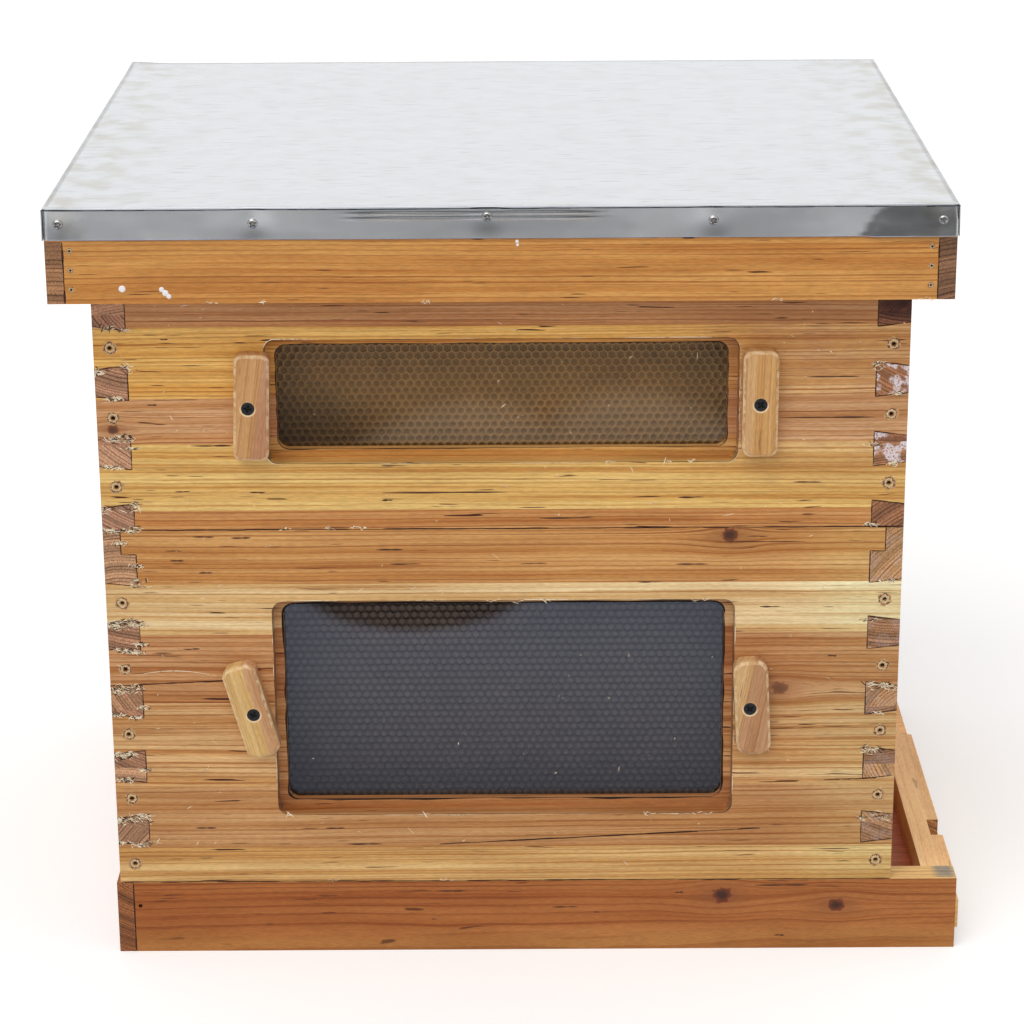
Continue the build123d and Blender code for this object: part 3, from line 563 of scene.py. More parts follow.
def upright_lines(node, inset, places):
    """Upright lines in a CAD board's near face, at places along it, from its lower to its upper edge."""
    low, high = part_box(node)
    return np.array([[(x, low[1], low[2] + inset), (x, low[1], high[2] - inset)] for x in places])


LINE_INSET = 0.0004
RAIL_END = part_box("rail_near")[0][0]
rail_joint = upright_lines("rail_near", LINE_INSET, [RAIL_END])
dark_lines("rail_joint_line", rail_joint, width=0.0009, body="bottom_board", slot="bottom_fir", seed=14,
           pieces_each=6)
RAIL_MARKS = (
    (-0.056, -0.037, 0.0428),
    (-0.060, -0.056, 0.0224),
    (0.020, 0.037, 0.0307),
    (0.047, 0.051, 0.0269),
    (0.100, 0.106, 0.0411),
    (0.153, 0.188, 0.0458),
    (0.166, 0.173, 0.0094),
)
resin_marks("rail_marks", "rail_near", RAIL_MARKS, "bottom_board", "bottom_fir", seed=15)


# Entrance reducer. A loose stick of orange fir that lies on the landing between the rails. A short and a long
# notch are sawn into it, and nothing holds it, so that it slides in and out.

NOTCH_SHADE = (0.52, 0.36, 0.22, 1.0)
# The reducer's tone is raised as painted light, so that it shows bright in the shade where it lies.
REDUCER_STRIPS = ((0.020, (255, 210, 150)),)
fir("reducer fir", "YXZ", ["entrance_reducer"], REDUCER_STRIPS, seed=21, end_shade=NOTCH_SHADE, figure=0.35)


# Brood box. Four boards, each glued from strips of fir and planed, are dovetailed at the corners, glued and
# nailed. The near board has a stepped opening with a clear acrylic pane let into its inner face.

BROOD_STRIPS = (
    (0.024, (198, 158, 101)),
    (0.067, (180, 133, 86)),
    (0.098, (199, 157, 107)),
    (0.127, (188, 144, 95)),
    (0.173, (180, 130, 85)),
    (0.2075, (211, 181, 134)),
    (0.2445, (189, 138, 82)),
)
BROOD_KNOTS = ((0.1323, 0.2896, 0.0047, 0.9), (0.1661, 0.1853, 0.0044, 0.6))
BROOD_MARKS = (
    (-0.207, -0.193, 0.2903),
    (-0.183, -0.170, 0.2895),
    (-0.222, -0.213, 0.2743),
    (-0.204, -0.195, 0.2660),
    (-0.216, -0.205, 0.2144),
    (-0.213, -0.199, 0.0890),
    (-0.128, -0.115, 0.0885),
    (-0.114, -0.091, 0.0770),
    (-0.091, -0.074, 0.2810),
    (-0.083, -0.063, 0.2714),
    (0.000, 0.017, 0.2713),
    (0.074, 0.090, 0.2584),
    (0.098, 0.119, 0.2703),
    (0.123, 0.180, 0.2850),
    (0.143, 0.156, 0.2888),
    (0.152, 0.165, 0.2413),
    (0.196, 0.202, 0.2075),
)
NEAR_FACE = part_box("brood_side_near")[0][1]
BROOD_FRONT = ("X", 0.16, 0.22, (1.06, 1.22, 1.30))
# In the window's recess, from a little behind the near face, the wood is darker and redder.
RECESS_DARKER = ("Y", NEAR_FACE + 0.0015, NEAR_FACE + 0.003, (0.88, 0.75, 0.68))
PIN_TONES = ((176, 136, 96), (192, 152, 106), (166, 124, 86), (184, 142, 98), (172, 130, 92), (190, 150, 104))


def end_strips(node):
    """Strips of an end board, each with one of the pins' tones."""
    low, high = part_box(node)
    tops = np.linspace(0, high[2] - low[2], len(PIN_TONES) + 1)[1:]
    return tuple(zip(tops.tolist(), PIN_TONES))


def hand_hold_wear_and_shade(node, outward):
    """Haze in a board's hand hold, on its outward side: wear where hands have darkened the scooped wood, and
    painted shade that makes the scoop show.
    """
    shallow, deep = 0.0006, 0.0118
    below_top, reach = 0.085, (0.065, 0.04)
    tone, strength = (150, 104, 66), 0.8
    low, high = np.array(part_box(node))
    through = np.argmin((high - low)[:2])
    along = (low + high)[1 - through] / 2
    face = high[through] if outward > 0 else low[through]
    depths = sorted((face - outward * shallow, face - outward * deep))
    return ((along, high[2] - below_top), reach, depths, tone, strength)


def edge_seam_shade(node):
    """A dark band along a board's lower edge, as painted shade at the seam under it."""
    unshaded_height, shaded_height, tint = 0.0012, 0.0006, (0.42, 0.36, 0.32)
    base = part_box(node)[0][2]
    return ("Z", base + unshaded_height, base + shaded_height, tint)


def plain_boards(box, strips, seed, pin_shades, chalk, front_haze=()):
    """Fir for the boards without a window: a far board and two end boards, darker in their hand holds by wear
    and painted shade, and along their lower edges by painted shade at the seam. The pins of the front and the
    back end have shades of their own."""
    pitch = 0.0021
    front_shade, back_shade = pin_shades
    far, front, back = f"{box}_side_far", f"{box}_end_front", f"{box}_end_back"
    fir(f"{box} far fir", "XYZ", [far], strips, seed, worn=(edge_seam_shade(far),), haze=(hand_hold_wear_and_shade(far, 1),))
    fir(f"{box} front end fir", "YXZ", [front], end_strips(front), seed + 1, pitch, end_shade=front_shade,
        chalk=chalk, worn=(edge_seam_shade(front),), haze=(hand_hold_wear_and_shade(front, 1), *front_haze))
    fir(f"{box} back end fir", "YXZ", [back], end_strips(back), seed + 2, pitch, end_shade=back_shade,
        worn=(edge_seam_shade(back),), haze=(hand_hold_wear_and_shade(back, -1),))


fir("brood near fir", "XYZ", ["brood_side_near"], BROOD_STRIPS, seed=31, knots=BROOD_KNOTS,
    worn=(RECESS_DARKER, BROOD_FRONT))
BROOD_PIN_SHADES = ((1.18, 1.02, 0.76, 1.0), (1.26, 1.10, 0.97, 1.0))
BROOD_CHALK = (0.12, 0.17, 0.15)
plain_boards("brood", BROOD_STRIPS, seed=32, pin_shades=BROOD_PIN_SHADES, chalk=BROOD_CHALK)
dress(nail_steel, "brood_corner_nails")


def clear_pane():
    """Acrylic, clear all through. Light that reaches the comb goes straight through it."""
    material, tree, _ = new_material("clear pane", Transmission_Weight=1.0, Roughness=0.02, IOR=1.49)
    path = put(tree, "LightPath").outputs
    straight = calc(tree, "MAXIMUM", path["Is Shadow Ray"], path["Is Diffuse Ray"])
    glass = tree.nodes["Principled BSDF"].outputs[0]
    through = put(tree, "BsdfTransparent").outputs[0]
    both = put(tree, "MixShader", {0: straight, 1: glass, 2: through}).outputs[0]
    tree.links.new(both, tree.nodes["Material Output"].inputs["Surface"])
    return material


PANE = clear_pane()
dress(PANE, "brood_window_pane")


def groups_of(values, gap):
    """The middles of groups of values that lie more than a gap apart."""
    ordered = np.unique(np.round(values, 5))
    return np.array([part.mean() for part in np.split(ordered, np.flatnonzero(np.diff(ordered) > gap) + 1)])


def corners_of(node):
    """All corners of a CAD node."""
    return np.array([corner.co for corner in frame["nodes"][node].data.vertices])


def fibre_wood():
    """Torn fir fibres: cream, dry and dull, browner here and there."""
    patch_scale, patch_seed, patch_bounds = 240.0, 3.0, (0.35, 0.5)
    brown, cream = display(180, 142, 104), display(240, 222, 190)
    material, tree, surface = new_material("torn fibres", Roughness=0.8)
    place = put(tree, "TexCoord").outputs["Object"]
    patches = noise(tree, scaled(tree, place, patch_scale), patch_seed)
    tree.links.new(mix(tree, spread(tree, patches, *patch_bounds), brown, cream), surface["Base Color"])
    return material


TORN_FIBRES = fibre_wood()


def burr_wood():
    """Wood round a nail: dark at the hole, pale where it splintered, a dark ring of dirt round that, and the
    board's own tone outside. Each band has the shares of the rim between which it comes in."""
    patch_scale, patch_seed, patch_tones = 1100.0, 5.0, (0.7, 1.15)
    hole = display(70, 40, 24)
    splinters, dirt, board = display(216, 182, 138), display(112, 70, 42), display(196, 152, 102)
    bands = ((0.1, 0.25, splinters), (0.45, 0.62, dirt), (0.66, 0.85, board))
    material, tree, surface = new_material("burr wood", Roughness=0.7)
    ring, _, _ = split(tree, put(tree, "Attribute", attribute_name="grain").outputs["Vector"])
    place = put(tree, "TexCoord").outputs["Object"]
    patches = noise(tree, scaled(tree, place, patch_scale), patch_seed)
    tone = hole
    for start, full, band in bands:
        tone = mix(tree, spread(tree, ring, start, full), tone, band)
    tree.links.new(scaled(tree, tone, vary(tree, patches, *patch_tones)), surface["Base Color"])
    return material


BURR_WOOD = burr_wood()


def nail_burrs(name, nails, near, far, size, body, slot):
    """Splintered rims round the nail holes of a near and a far board: rings whose height rises from the
    hole's edge and falls off outwards, each uneven round the hole. Grain counts the rings outwards."""
    ring_radii = np.array([1.45, 1.8, 2.6, 3.2, 3.7, 4.4]) / 1000 * size
    ring_heights = np.array([-0.4, 0.2, 0.18, 0.02, 0.08, 0.0]) / 1000
    around, uneven_share, seed = 24, 0.45, 41
    column_gap, row_gap = 0.05, 0.006
    driven = corners_of(nails)
    columns, rows = groups_of(driven[:, 0], column_gap), groups_of(driven[:, 2], row_gap)
    low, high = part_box(near)[0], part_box(far)[1]
    x, z, side = (part.ravel()[:, None, None] for part in np.meshgrid(columns, rows, [-1.0, 1.0]))
    uneven = np.random.default_rng(seed).random((len(x), len(ring_radii), around))
    angle = np.linspace(0, 2 * np.pi, around, endpoint=False)
    radius = ring_radii[None, :, None] * (1 + uneven_share * (uneven - 0.5))
    height = ring_heights[None, :, None] * (0.5 + uneven[:, :, ::-1])
    face = np.where(side < 0, low[1], high[1])
    points = np.stack([x + radius * np.cos(angle), face + side * height, z + radius * np.sin(angle)], -1)
    count = np.zeros_like(points)
    count[..., 0] = (np.arange(len(ring_radii)) / (len(ring_radii) - 1))[None, :, None]
    faces = repeated(lattice(len(ring_radii), around, closed=True), len(x), len(ring_radii) * around)
    return make(name, points, [faces], body, slot, BURR_WOOD, grain=count)


def pin_edges(box, end):
    """Starts and ends of the lines round one corner's pins, where they show in the near face: the level
    edges from the lowest up, and with them the upright edges and the step of the top pin round the frame
    rest."""
    same, level_gap = 1e-4, 0.0005
    corners = corners_of(f"{box}_end_{end}")
    face = corners[:, 1].min()
    near = corners[corners[:, 1] < face + same]
    limits = near[:, 0].min(), near[:, 0].max()
    outer_x, inner_x = limits if end == "back" else limits[::-1]
    outer, inner = (groups_of(near[np.abs(near[:, 0] - x) < same, 2], level_gap) for x in (outer_x, inner_x))
    tongue = near[near[:, 2] > outer[-1] - same, 0]
    tongue_x = tongue[np.argmax(np.abs(tongue - outer_x))]
    rest, top = inner[-1], outer[-1]
    level = [((outer_x, out), (inner_x, into)) for out, into in zip(outer[:-1], inner[:-1])]
    upright = [((inner_x, low), (inner_x, high)) for low, high in zip(inner[::2], inner[1::2])]
    step = [((inner_x, rest), (tongue_x, rest)), ((tongue_x, rest), (tongue_x, top))]
    return [np.insert(np.array(lines), 1, face, axis=2) for lines in (level, upright + step)]


def strip_ends(middles, angle, reach):
    """Both ends of straight strips in a board's face, from their middles, their angles to the level and how
    far they reach each way."""
    run = np.stack([reach * np.cos(angle), np.zeros_like(reach), reach * np.sin(angle)], -1)
    return (middles - run).reshape(-1, 3), (middles + run).reshape(-1, 3)


def tears(name, lines, per_metre, body, slot, seed, limits, drop=0.0, fibres_each=18, gaps=True):
    """Fibres torn loose along lines in a board's face. Clumps lie at random along the lines, some way below
    them, each of thin bowed strips at any angle near the level, which stay between two limits in X. Every
    third one may be a dark gap."""
    clump_reach, lift, level_spread, drop_spread = 0.0022, 0.0001, 0.0004, 0.6
    lean_spread, shortest, longest, least_run = 0.6, 0.0007, 0.0028, 1e-5
    thin, thick, most_lift, bow = 0.00025, 0.0007, 0.0006, 0.0005
    stations, tip = 6, 0.35
    random = np.random.default_rng(seed)
    lengths = np.linalg.norm(lines[:, 1] - lines[:, 0], axis=1)
    clump = np.repeat(np.arange(len(lines)), random.poisson(lengths * per_metre))
    middle = lines[clump, 0] + (lines[clump, 1] - lines[clump, 0]) * random.random((len(clump), 1))
    count = (len(clump), fibres_each)
    lean = random.normal(0, lean_spread, count)
    reach = random.uniform(shortest, longest, count)
    fall = random.normal(-drop, level_spread + drop_spread * drop, count)
    apart = np.stack([random.normal(0, clump_reach, count), np.full(count, -lift), fall], -1)
    starts, ends = strip_ends(middle[:, None] + apart, lean, reach)
    starts[:, 0], ends[:, 0] = np.clip(starts[:, 0], *limits), np.clip(ends[:, 0], *limits)
    ends[:, 2] += least_run
    total = len(starts)
    widths, lifts = random.uniform(thin, thick, total), random.uniform(0.0, most_lift, total)
    points, _ = ribbons(starts, ends, widths, lifts, random.normal(0, bow, total), stations, tip)
    dark = np.zeros(total, bool)
    dark[::3] = gaps
    for kind, material, chosen in (("pale", TORN_FIBRES, ~dark), ("dark", SHADE_LINE, dark)):
        if chosen.any():
            quads = repeated(lattice(stations, 2), chosen.sum(), stations * 2)
            make(f"{name}_{kind}", points[chosen], [quads], body, slot, material, smooth=False)


def recess_lines(box):
    """The upper and lower edge of the recess round a window, in the near face, clear of its rounded
    corners."""
    half_reach, ease, same = 0.15, 0.007, 1e-4
    corners = corners_of(f"{box}_side_near")
    middle = (corners[:, 0].max() + corners[:, 0].min()) / 2
    near = corners[corners[:, 1] < corners[:, 1].min() + same]
    recess = near[np.abs(near[:, 0] - middle) < half_reach]
    low, high = recess.min(0), recess.max(0)
    return np.array([[(low[0] + ease, low[1], z), (high[0] - ease, low[1], z)] for z in (low[2], high[2])])


def flecks(box, count, seed):
    """Pale chips and hairs of wood on the near board, clear of its window: short thin strips at any
    angle."""
    margin, beside, above, lift = 0.004, 0.03, 0.002, 0.0001
    tries_each, lean_spread, mean_reach, least_reach = 4, 0.7, 0.0011, 0.0004
    thin, thick, bow = 0.0002, 0.0006, 0.0005
    random = np.random.default_rng(seed)
    low, high = np.array(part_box(f"{box}_side_near"))
    (left, _, lower), (right, _, upper) = recess_lines(box)[[0, 1], [0, 1]]
    places = random.uniform(low + margin, high - margin, (tries_each * count, 3))
    over = (places[:, 0] > left - beside) & (places[:, 0] < right + beside)
    within = over & (places[:, 2] > lower - above) & (places[:, 2] < upper + above)
    places = places[~within][:count]
    total = len(places)
    places[:, 1] = low[1] - lift
    angle = random.normal(0, lean_spread, total)
    reach = random.exponential(mean_reach, total) + least_reach
    widths, bows = random.uniform(thin, thick, total), random.normal(0, bow, total)
    points, faces = ribbons(*strip_ends(places, angle, reach), widths, np.zeros(total), bows)
    return make(f"{box}_flecks", points, [faces], f"{box}_box", "box_fir", TORN_FIBRES, smooth=False)


EDGE_CLUMPS, EDGE_FIBRES = 10, 4


def pin_tears(box, seed):
    """Dark joint lines along the pins and the lower edge, the fibres that the saw tore loose beside them,
    most of them under the upper edges of the back end's pins, a few at the recess, and flecks of fibre here
    and there on the face. Each end has its clumps to a metre of the pins' upper, lower and upright edges."""
    above_line, drop, fleck_count = 0.0008, 0.0016, 60
    base_width, base_pieces, joint_width = 0.0008, 40, 0.0007
    clumps = {"back": (200, 90, 60), "front": (30, 20, 20)}
    body, slot = f"{box}_box", "box_fir"
    low, high = np.array(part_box(f"{box}_side_near"))
    limits = (low[0] + LINE_INSET, high[0] - LINE_INSET)
    base = np.array([[(x, low[1], low[2] + LINE_INSET) for x in limits]])
    dark_lines(f"{box}_base_line", base, base_width, body, slot, seed, base_pieces)
    for end, (upper, lower, upright) in clumps.items():
        level, others = pin_edges(box, end)
        name = f"{box}_{end}"
        dark_lines(f"{name}_joint_lines", np.concatenate([level, others]), joint_width, body, slot, seed)
        tears(f"{name}_upper_fibres", level[1::2], upper, body, slot, seed, limits, drop)
        tears(f"{name}_lower_fibres", level[::2], lower, body, slot, seed + 3, limits)
        tears(f"{name}_upright_fibres", others, upright, body, slot, seed + 4, limits)
    edges = np.concatenate([base + np.array([0.0, 0.0, above_line]), recess_lines(box)])
    tears(f"{box}_edge_fibres", edges, EDGE_CLUMPS, body, slot, seed + 1, limits, fibres_each=EDGE_FIBRES,
          gaps=False)
    flecks(box, fleck_count, seed + 2)


def rounded_outline(width, height, corner, inset, points_each, points_between=15):
    """A rectangle round the origin, as points across and along, whose corners are arcs of a few points,
    with points along the straights between them. Two points clip a corner straight."""
    inset_share, least_radius = 0.58, 0.0005
    angle = np.linspace(0, np.pi / 2, points_each) + np.arange(4)[:, None] * np.pi / 2
    radius = max(corner - inset_share * inset, least_radius)
    middles = (np.array([width, height]) / 2 - inset - radius) * [(1, 1), (-1, 1), (-1, -1), (1, -1)]
    arcs = middles[:, None] + radius * np.stack([np.cos(angle), np.sin(angle)], -1)
    share = np.linspace(0, 1, points_between + 2)[1:-1, None]
    last, following = arcs[:, -1:], np.roll(arcs, -1, axis=0)[:, :1]
    return np.concatenate([arcs, last + (following - last) * share], 1).reshape(-1, 2)


def edge_band(name, box, margin, corner, depth, width, seed, material, least=0.2):
    """A line round a window, in the near face or in the ledge some depth behind it: a band that starts a
    margin outside the clear opening. Its width wanders from a least share of it to a little over it, and a
    share below nought all but breaks the band."""
    pane_lap, lift = 0.0077, 0.00006
    corner_points, side_points = 9, 90
    wanders, most, thinnest = 60, 1.2, 0.02
    low, high = np.array(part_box(f"{box}_window_pane"))
    middle = (low + high) / 2
    across, _, tall = high - low - 2 * pane_lap
    inner, outer = (rounded_outline(across, tall, corner, -reach, corner_points, side_points)
                    for reach in (margin, margin + width))
    widths = np.random.default_rng(seed).uniform(least, most, wanders)
    uneven = np.interp(np.linspace(0, wanders - 1, len(inner)), np.arange(wanders), widths)
    flat = np.stack([inner, inner + (outer - inner) * np.clip(uneven, thinnest, None)[:, None]])
    y = np.full(flat.shape[:2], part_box(f"{box}_side_near")[0][1] + depth - lift)
    points = np.stack([flat[..., 0] + middle[0], y, flat[..., 1] + middle[2]], -1)
    return make(name, points, [lattice(2, len(inner), closed=True)], f"{box}_box", "box_fir", material)


GAP_SHADE, _, _ = new_material("gap shade", Base_Color=display(26, 16, 12), Roughness=0.9)


def window_lines(box, gap_width, seed):
    """The recess's dark edge with sawdust beside it and, on the ledge, the dark gap round the opening."""
    recess_margin, recess_corner, line_width = 0.006, 0.0035, 0.0004
    dust_width, dust_least = 0.0005, -1.3
    opening_corner, ledge_depth, gap_least = 0.007, 0.012, 0.1
    edge_band(f"{box}_recess_line", box, recess_margin, recess_corner, 0.0, line_width, seed, SHADE_LINE)
    edge_band(f"{box}_recess_dust", box, recess_margin + line_width, recess_corner, 0.0, dust_width, seed + 5,
              TORN_FIBRES, dust_least)
    edge_band(f"{box}_opening_line", box, 0.0, opening_corner, ledge_depth, gap_width, seed + 1,
              GAP_SHADE, gap_least)


def dust(box, count, seed):
    """Pale specks on the pane's face: very short strips at any angle."""
    margin, lift = np.array([0.012, 0.0, 0.012]), 0.0001
    mean_reach, least_reach, thin, thick, tip = 0.0004, 0.0003, 0.0003, 0.0007, 0.5
    random = np.random.default_rng(seed)
    low, high = np.array(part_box(f"{box}_window_pane"))
    places = random.uniform(low + margin, high - margin, (count, 3))
    places[:, 1] = low[1] - lift
    angle = random.uniform(0, np.pi, count)
    reach = random.exponential(mean_reach, count) + least_reach
    widths, flat = random.uniform(thin, thick, count), np.zeros(count)
    points, faces = ribbons(*strip_ends(places, angle, reach), widths, flat, flat, tip=tip)
    return make(f"{box}_dust", points, [faces], f"{box}_box", "clear_pane", TORN_FIBRES, smooth=False)


nail_burrs("brood_burrs", "brood_corner_nails", "brood_side_near", "brood_side_far", size=1.0,
           body="brood_box", slot="box_fir")
pin_tears("brood", seed=42)
window_lines("brood", gap_width=0.0013, seed=44)
dust("brood", count=14, seed=46)
CRACKS = np.array([
    [(-0.2638, 0.1892), (-0.1802, 0.1929)],
    [(-0.0535, 0.0767), (0.1553, 0.0869)],
    [(0.1960, 0.1210), (0.2300, 0.1222)],
])
brood_cracks = np.insert(CRACKS, 1, NEAR_FACE, axis=2)
dark_lines("brood_cracks", brood_cracks, width=0.0009, body="brood_box", slot="box_fir", seed=43,
           pieces_each=14)
resin_marks("brood_marks", "brood_side_near", BROOD_MARKS, "brood_box", "box_fir", seed=45)


def scratch():
    """A pale scratch in the brood box's near board, bowed upwards."""
    width, bow, lift, stations = 0.0005, 0.0036, 0.00008, 25
    ends = np.array([[(-0.249, 0.1962), (-0.1936, 0.1955)]])
    line = np.insert(ends, 1, NEAR_FACE - lift, axis=2)
    points, faces = ribbons(line[:, 0], line[:, 1], np.array([width]), np.zeros(1), np.array([bow]), stations)
    return make("brood_scratch", points, [faces], "brood_box", "box_fir", TORN_FIBRES, smooth=False)


scratch()


# Turn buttons. Each is sawn from pale wood, its corners rounded and edges eased on a sander, and held by one
# black countersunk screw, about which it turns.

BUTTON_WIDTH = 0.022
BUTTON_THICKNESS = 0.0115
BUTTON_STAND_OFF = 0.0003
BUTTON_EASE = 0.002
SINK_RADIUS = 0.0044
SINK_FLOOR = 0.0021
SINK_DEPTH = 0.0033
# Pale wood for the buttons' eased edges, where it is also a painted highlight, and for the burr under the
# screw.
SANDING_AND_HIGHLIGHT = display(238, 210, 168)


def button_wood(name, tones, border, seed):
    """Fir for a turn button, which carries its place in the wood, from its screw, in its grain attribute.
    Past a border across the grain it has a second tone. Its eased front edges, and its sides near the front,
    are pale from sanding and as a painted highlight, and the burr under the screw is pale from sanding."""
    pitch, figure, border_half = 0.0034, 0.6, 0.0007
    patch_scale, patch_sanding = 260.0, (0.35, 0.65, 0.1, 0.8)
    face_depths, side_fade_sanding_highlight = (0.0001, 0.0006), (0.0015, 0.007, 0.9, 0.0)
    burr_radii, burr_sanding = (0.0047, 0.0055, 1.0, 0.0), (0.003, -0.002, 0.15, 0.9)
    material, tree, surface = new_material(name)
    grain = put(tree, "Attribute", attribute_name="grain").outputs["Vector"]
    along, through, across = split(tree, grain)
    past_border = spread(tree, across, border - border_half, border + border_half)
    tone = mix(tree, past_border, *(display(*colour) for colour in tones))
    patches = noise(tree, scaled(tree, grain, patch_scale), seed)
    eased = calc(tree, "MULTIPLY", spread(tree, through, *face_depths), spread(tree, through, *side_fade_sanding_highlight))
    edge = calc(tree, "MULTIPLY", eased, spread(tree, patches, *patch_sanding))
    round_screw = spread(tree, length(tree, along, 0.0, across), *burr_radii)
    burr = calc(tree, "MULTIPLY", round_screw, spread(tree, along, *burr_sanding))

    def pale_sanding_and_highlight(colour):
        """Pale dry wood on the burr, and on the eased edges, where it is also a painted highlight."""
        return mix(tree, calc(tree, "MAXIMUM", edge, burr), colour, SANDING_AND_HIGHLIGHT)

    wood = {"Grain": grain, "Seed": seed, "Pitch": pitch, "Tone": tone, "Figure": figure}
    fir_surface(tree, surface, wood, pale_sanding_and_highlight)
    return material


def pivot_of(box, side):
    """Where a turn button's hinge is."""
    name = f"{box}_button_{side}_turn"
    return next(np.array(joint["pos_m"]) for joint in frame["joints"] if joint["name"] == name)


def turned(x, z, angle):
    """Places in a level and an upright direction, turned by an angle."""
    return x * np.cos(angle) - z * np.sin(angle), x * np.sin(angle) + z * np.cos(angle)


def button(box, side, lean_deg, across, along, height, corner, points_each, tones, border, grain_deg, seed):
    """A turn button as rings: up the back edge, over the chamfered front edge and the face to the screw's
    countersink, and down it. The screw stands off the button's middle, across and along. The grain leans
    against the button's length."""
    back_ease, sharp_deg = 0.0015, 33
    pivot = pivot_of(box, side)
    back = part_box(f"{box}_side_near")[0][1] - BUTTON_STAND_OFF
    front = back - BUTTON_THICKNESS
    insets = [back_ease, 0.0, 0.0, BUTTON_EASE]
    places = [back, back, front + BUTTON_EASE, front]
    middle = np.array([-across, -along])
    rings = [rounded_outline(BUTTON_WIDTH, height, corner, inset, points_each) + middle for inset in insets]
    angle = np.arctan2(rings[-1][:, 1], rings[-1][:, 0])
    toward = np.stack([np.cos(angle), np.sin(angle)], -1)
    for radius, place in ((SINK_RADIUS, front), (SINK_FLOOR, front + SINK_DEPTH), (SINK_FLOOR, back)):
        rings.append(toward * radius)
        places.append(place)
    flat = np.array([*rings, rings[0]])
    deep = np.repeat(np.array([*places, places[0]])[:, None], flat.shape[1], 1)
    x, z = turned(flat[..., 0], flat[..., 1], np.radians(lean_deg))
    points = np.stack([pivot[0] + x, deep, pivot[2] + z], -1)
    crosswise, lengthwise = turned(flat[..., 0], flat[..., 1], np.radians(grain_deg))
    grain = np.stack([lengthwise, deep - front, crosswise], -1)
    faces = lattice(*flat.shape[:2], closed=True)
    wood = button_wood(f"{box} {side} button wood", tones, border, seed)
    piece = make(f"{box}_{side}_button", points, [faces], f"{box}_button_{side}", "button_wood", wood,
                 grain=grain, closed=True)
    piece.data.set_sharp_from_angle(angle=np.radians(sharp_deg))
    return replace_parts(piece, f"{box}_button_{side}")


def cross_recess(x, z, half_width, reach):
    """Depth, from 0 to 1, of a cross-shaped driver recess: two arms, each with sloping walls."""
    side_slope, end_slope = 0.35 * half_width, 0.3 * reach

    def arm(over, lengthwise):
        """One arm's depth."""
        across = np.clip((half_width - np.abs(over)) / side_slope, 0, 1)
        return across * np.clip((reach - np.abs(lengthwise)) / end_slope, 0, 1)

    return np.maximum(arm(x, z), arm(z, x))


def screw(profile, head_rings, recess_half, recess_reach, turn):
    """A screw pointing along +Y from the origin: its profile of (radius, depth) is carried round the axis,
    and the cross recess is pressed into the rings of its head."""
    around, recess_depth = 48, 0.0016
    angle = np.linspace(0, 2 * np.pi, around, endpoint=False)
    radius = profile[:, :1] * np.ones(around)
    x, z = radius * np.cos(angle), radius * np.sin(angle)
    y = profile[:, 1:] * np.ones(around)
    pressed = cross_recess(*turned(x, z, turn), recess_half, recess_reach)
    y[:head_rings] += recess_depth * pressed[:head_rings]
    return np.stack([x, y, z], -1), lattice(len(profile), around, closed=True)


def joined(parts):
    """Shapes as one: all their points, and each one's faces, which count on from the points before."""
    points = [places.reshape(-1, 3) for places, _ in parts]
    starts = np.cumsum([0, *map(len, points)])
    return np.concatenate(points), [faces + start for (_, faces), start in zip(parts, starts)]


BLACK_STEEL, _, _ = new_material("black screw", Base_Color=display(24, 24, 26), Roughness=0.6)


def button_screws(box, turns):
    """The two black countersunk screws of a box's turn buttons, each driven to a turn of its own."""
    head, head_edge, head_depth, shank = 0.004, 0.0002, 0.003, 0.0019
    face_rings, recess_half, recess_reach, sharp_deg = 14, 0.0007, 0.0026, 30
    low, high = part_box(f"{box}_button_screws")
    whole = high[1] - low[1]
    face = [(radius, 0.0) for radius in np.linspace(0, head - head_edge, face_rings)]
    profile = np.array([*face, (head, head_edge), (shank, head_depth), (shank, whole), (0.0, whole)])
    driven = []
    for side, turn in turns.items():
        shape, faces = screw(profile, face_rings, recess_half, recess_reach, turn)
        x, _, z = pivot_of(box, side)
        driven.append((shape + np.array([x, low[1], z]), faces))
    piece = make(f"{box}_screws", *joined(driven), f"{box}_box", "black_screw", BLACK_STEEL, closed=True)
    piece.data.set_sharp_from_angle(angle=np.radians(sharp_deg))
    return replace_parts(piece, f"{box}_button_screws")


button("brood", "left", lean_deg=15.5, across=0.001, along=-0.002, height=0.064, corner=0.0045, points_each=2,
       tones=((206, 171, 114), (190, 145, 104)), border=0.002, grain_deg=0.0, seed=51)
button("brood", "right", lean_deg=3.0, across=-0.0015, along=0.0, height=0.064, corner=0.0075, points_each=6,
       tones=((198, 160, 112), (180, 136, 99)), border=-0.003, grain_deg=14.0, seed=52)
button_screws("brood", {"left": 0.4, "right": 0.9})


# Brood frames. Pine bars round sheets of black plastic foundation, each sheet pressed with rows of shallow
# six-sided cells, and spaced by the shoulders of the end bars.

def frame_wood(box, seed):
    """Pine for the frames: the grain runs along the bars, and upright in the end bars below the lugs."""
    frames, lug, pitch, tone = 10, 0.006, 0.0022, display(214, 178, 126)
    low, high = np.array(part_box(f"{box}_frame_01"))
    sheet_low, sheet_high = np.array(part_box(f"{box}_foundation"))
    middle = (low + high) / 2
    material, tree, surface = new_material(f"{box} frame wood")
    x, y, z = split(tree, put(tree, "TexCoord").outputs["Object"])
    along = calc(tree, "SUBTRACT", x, middle[0])
    outside = calc(tree, "GREATER_THAN", calc(tree, "ABSOLUTE", along), (sheet_high - sheet_low)[0] / 2)
    in_lug = calc(tree, "GREATER_THAN", z, high[2] - lug)
    upright = calc(tree, "MULTIPLY", outside, calc(tree, "SUBTRACT", 1.0, in_lug))
    bars, ends = join(tree, along, y, z), join(tree, z, y, along)
    grain = put(tree, "Mix", {0: upright, 4: bars, 5: ends}, data_type="VECTOR").outputs[1]
    fir_surface(tree, surface, {"Grain": grain, "Seed": seed, "Pitch": pitch, "Tone": tone})
    return dress(material, *(f"{box}_frame_{number:02d}" for number in range(1, frames + 1)))


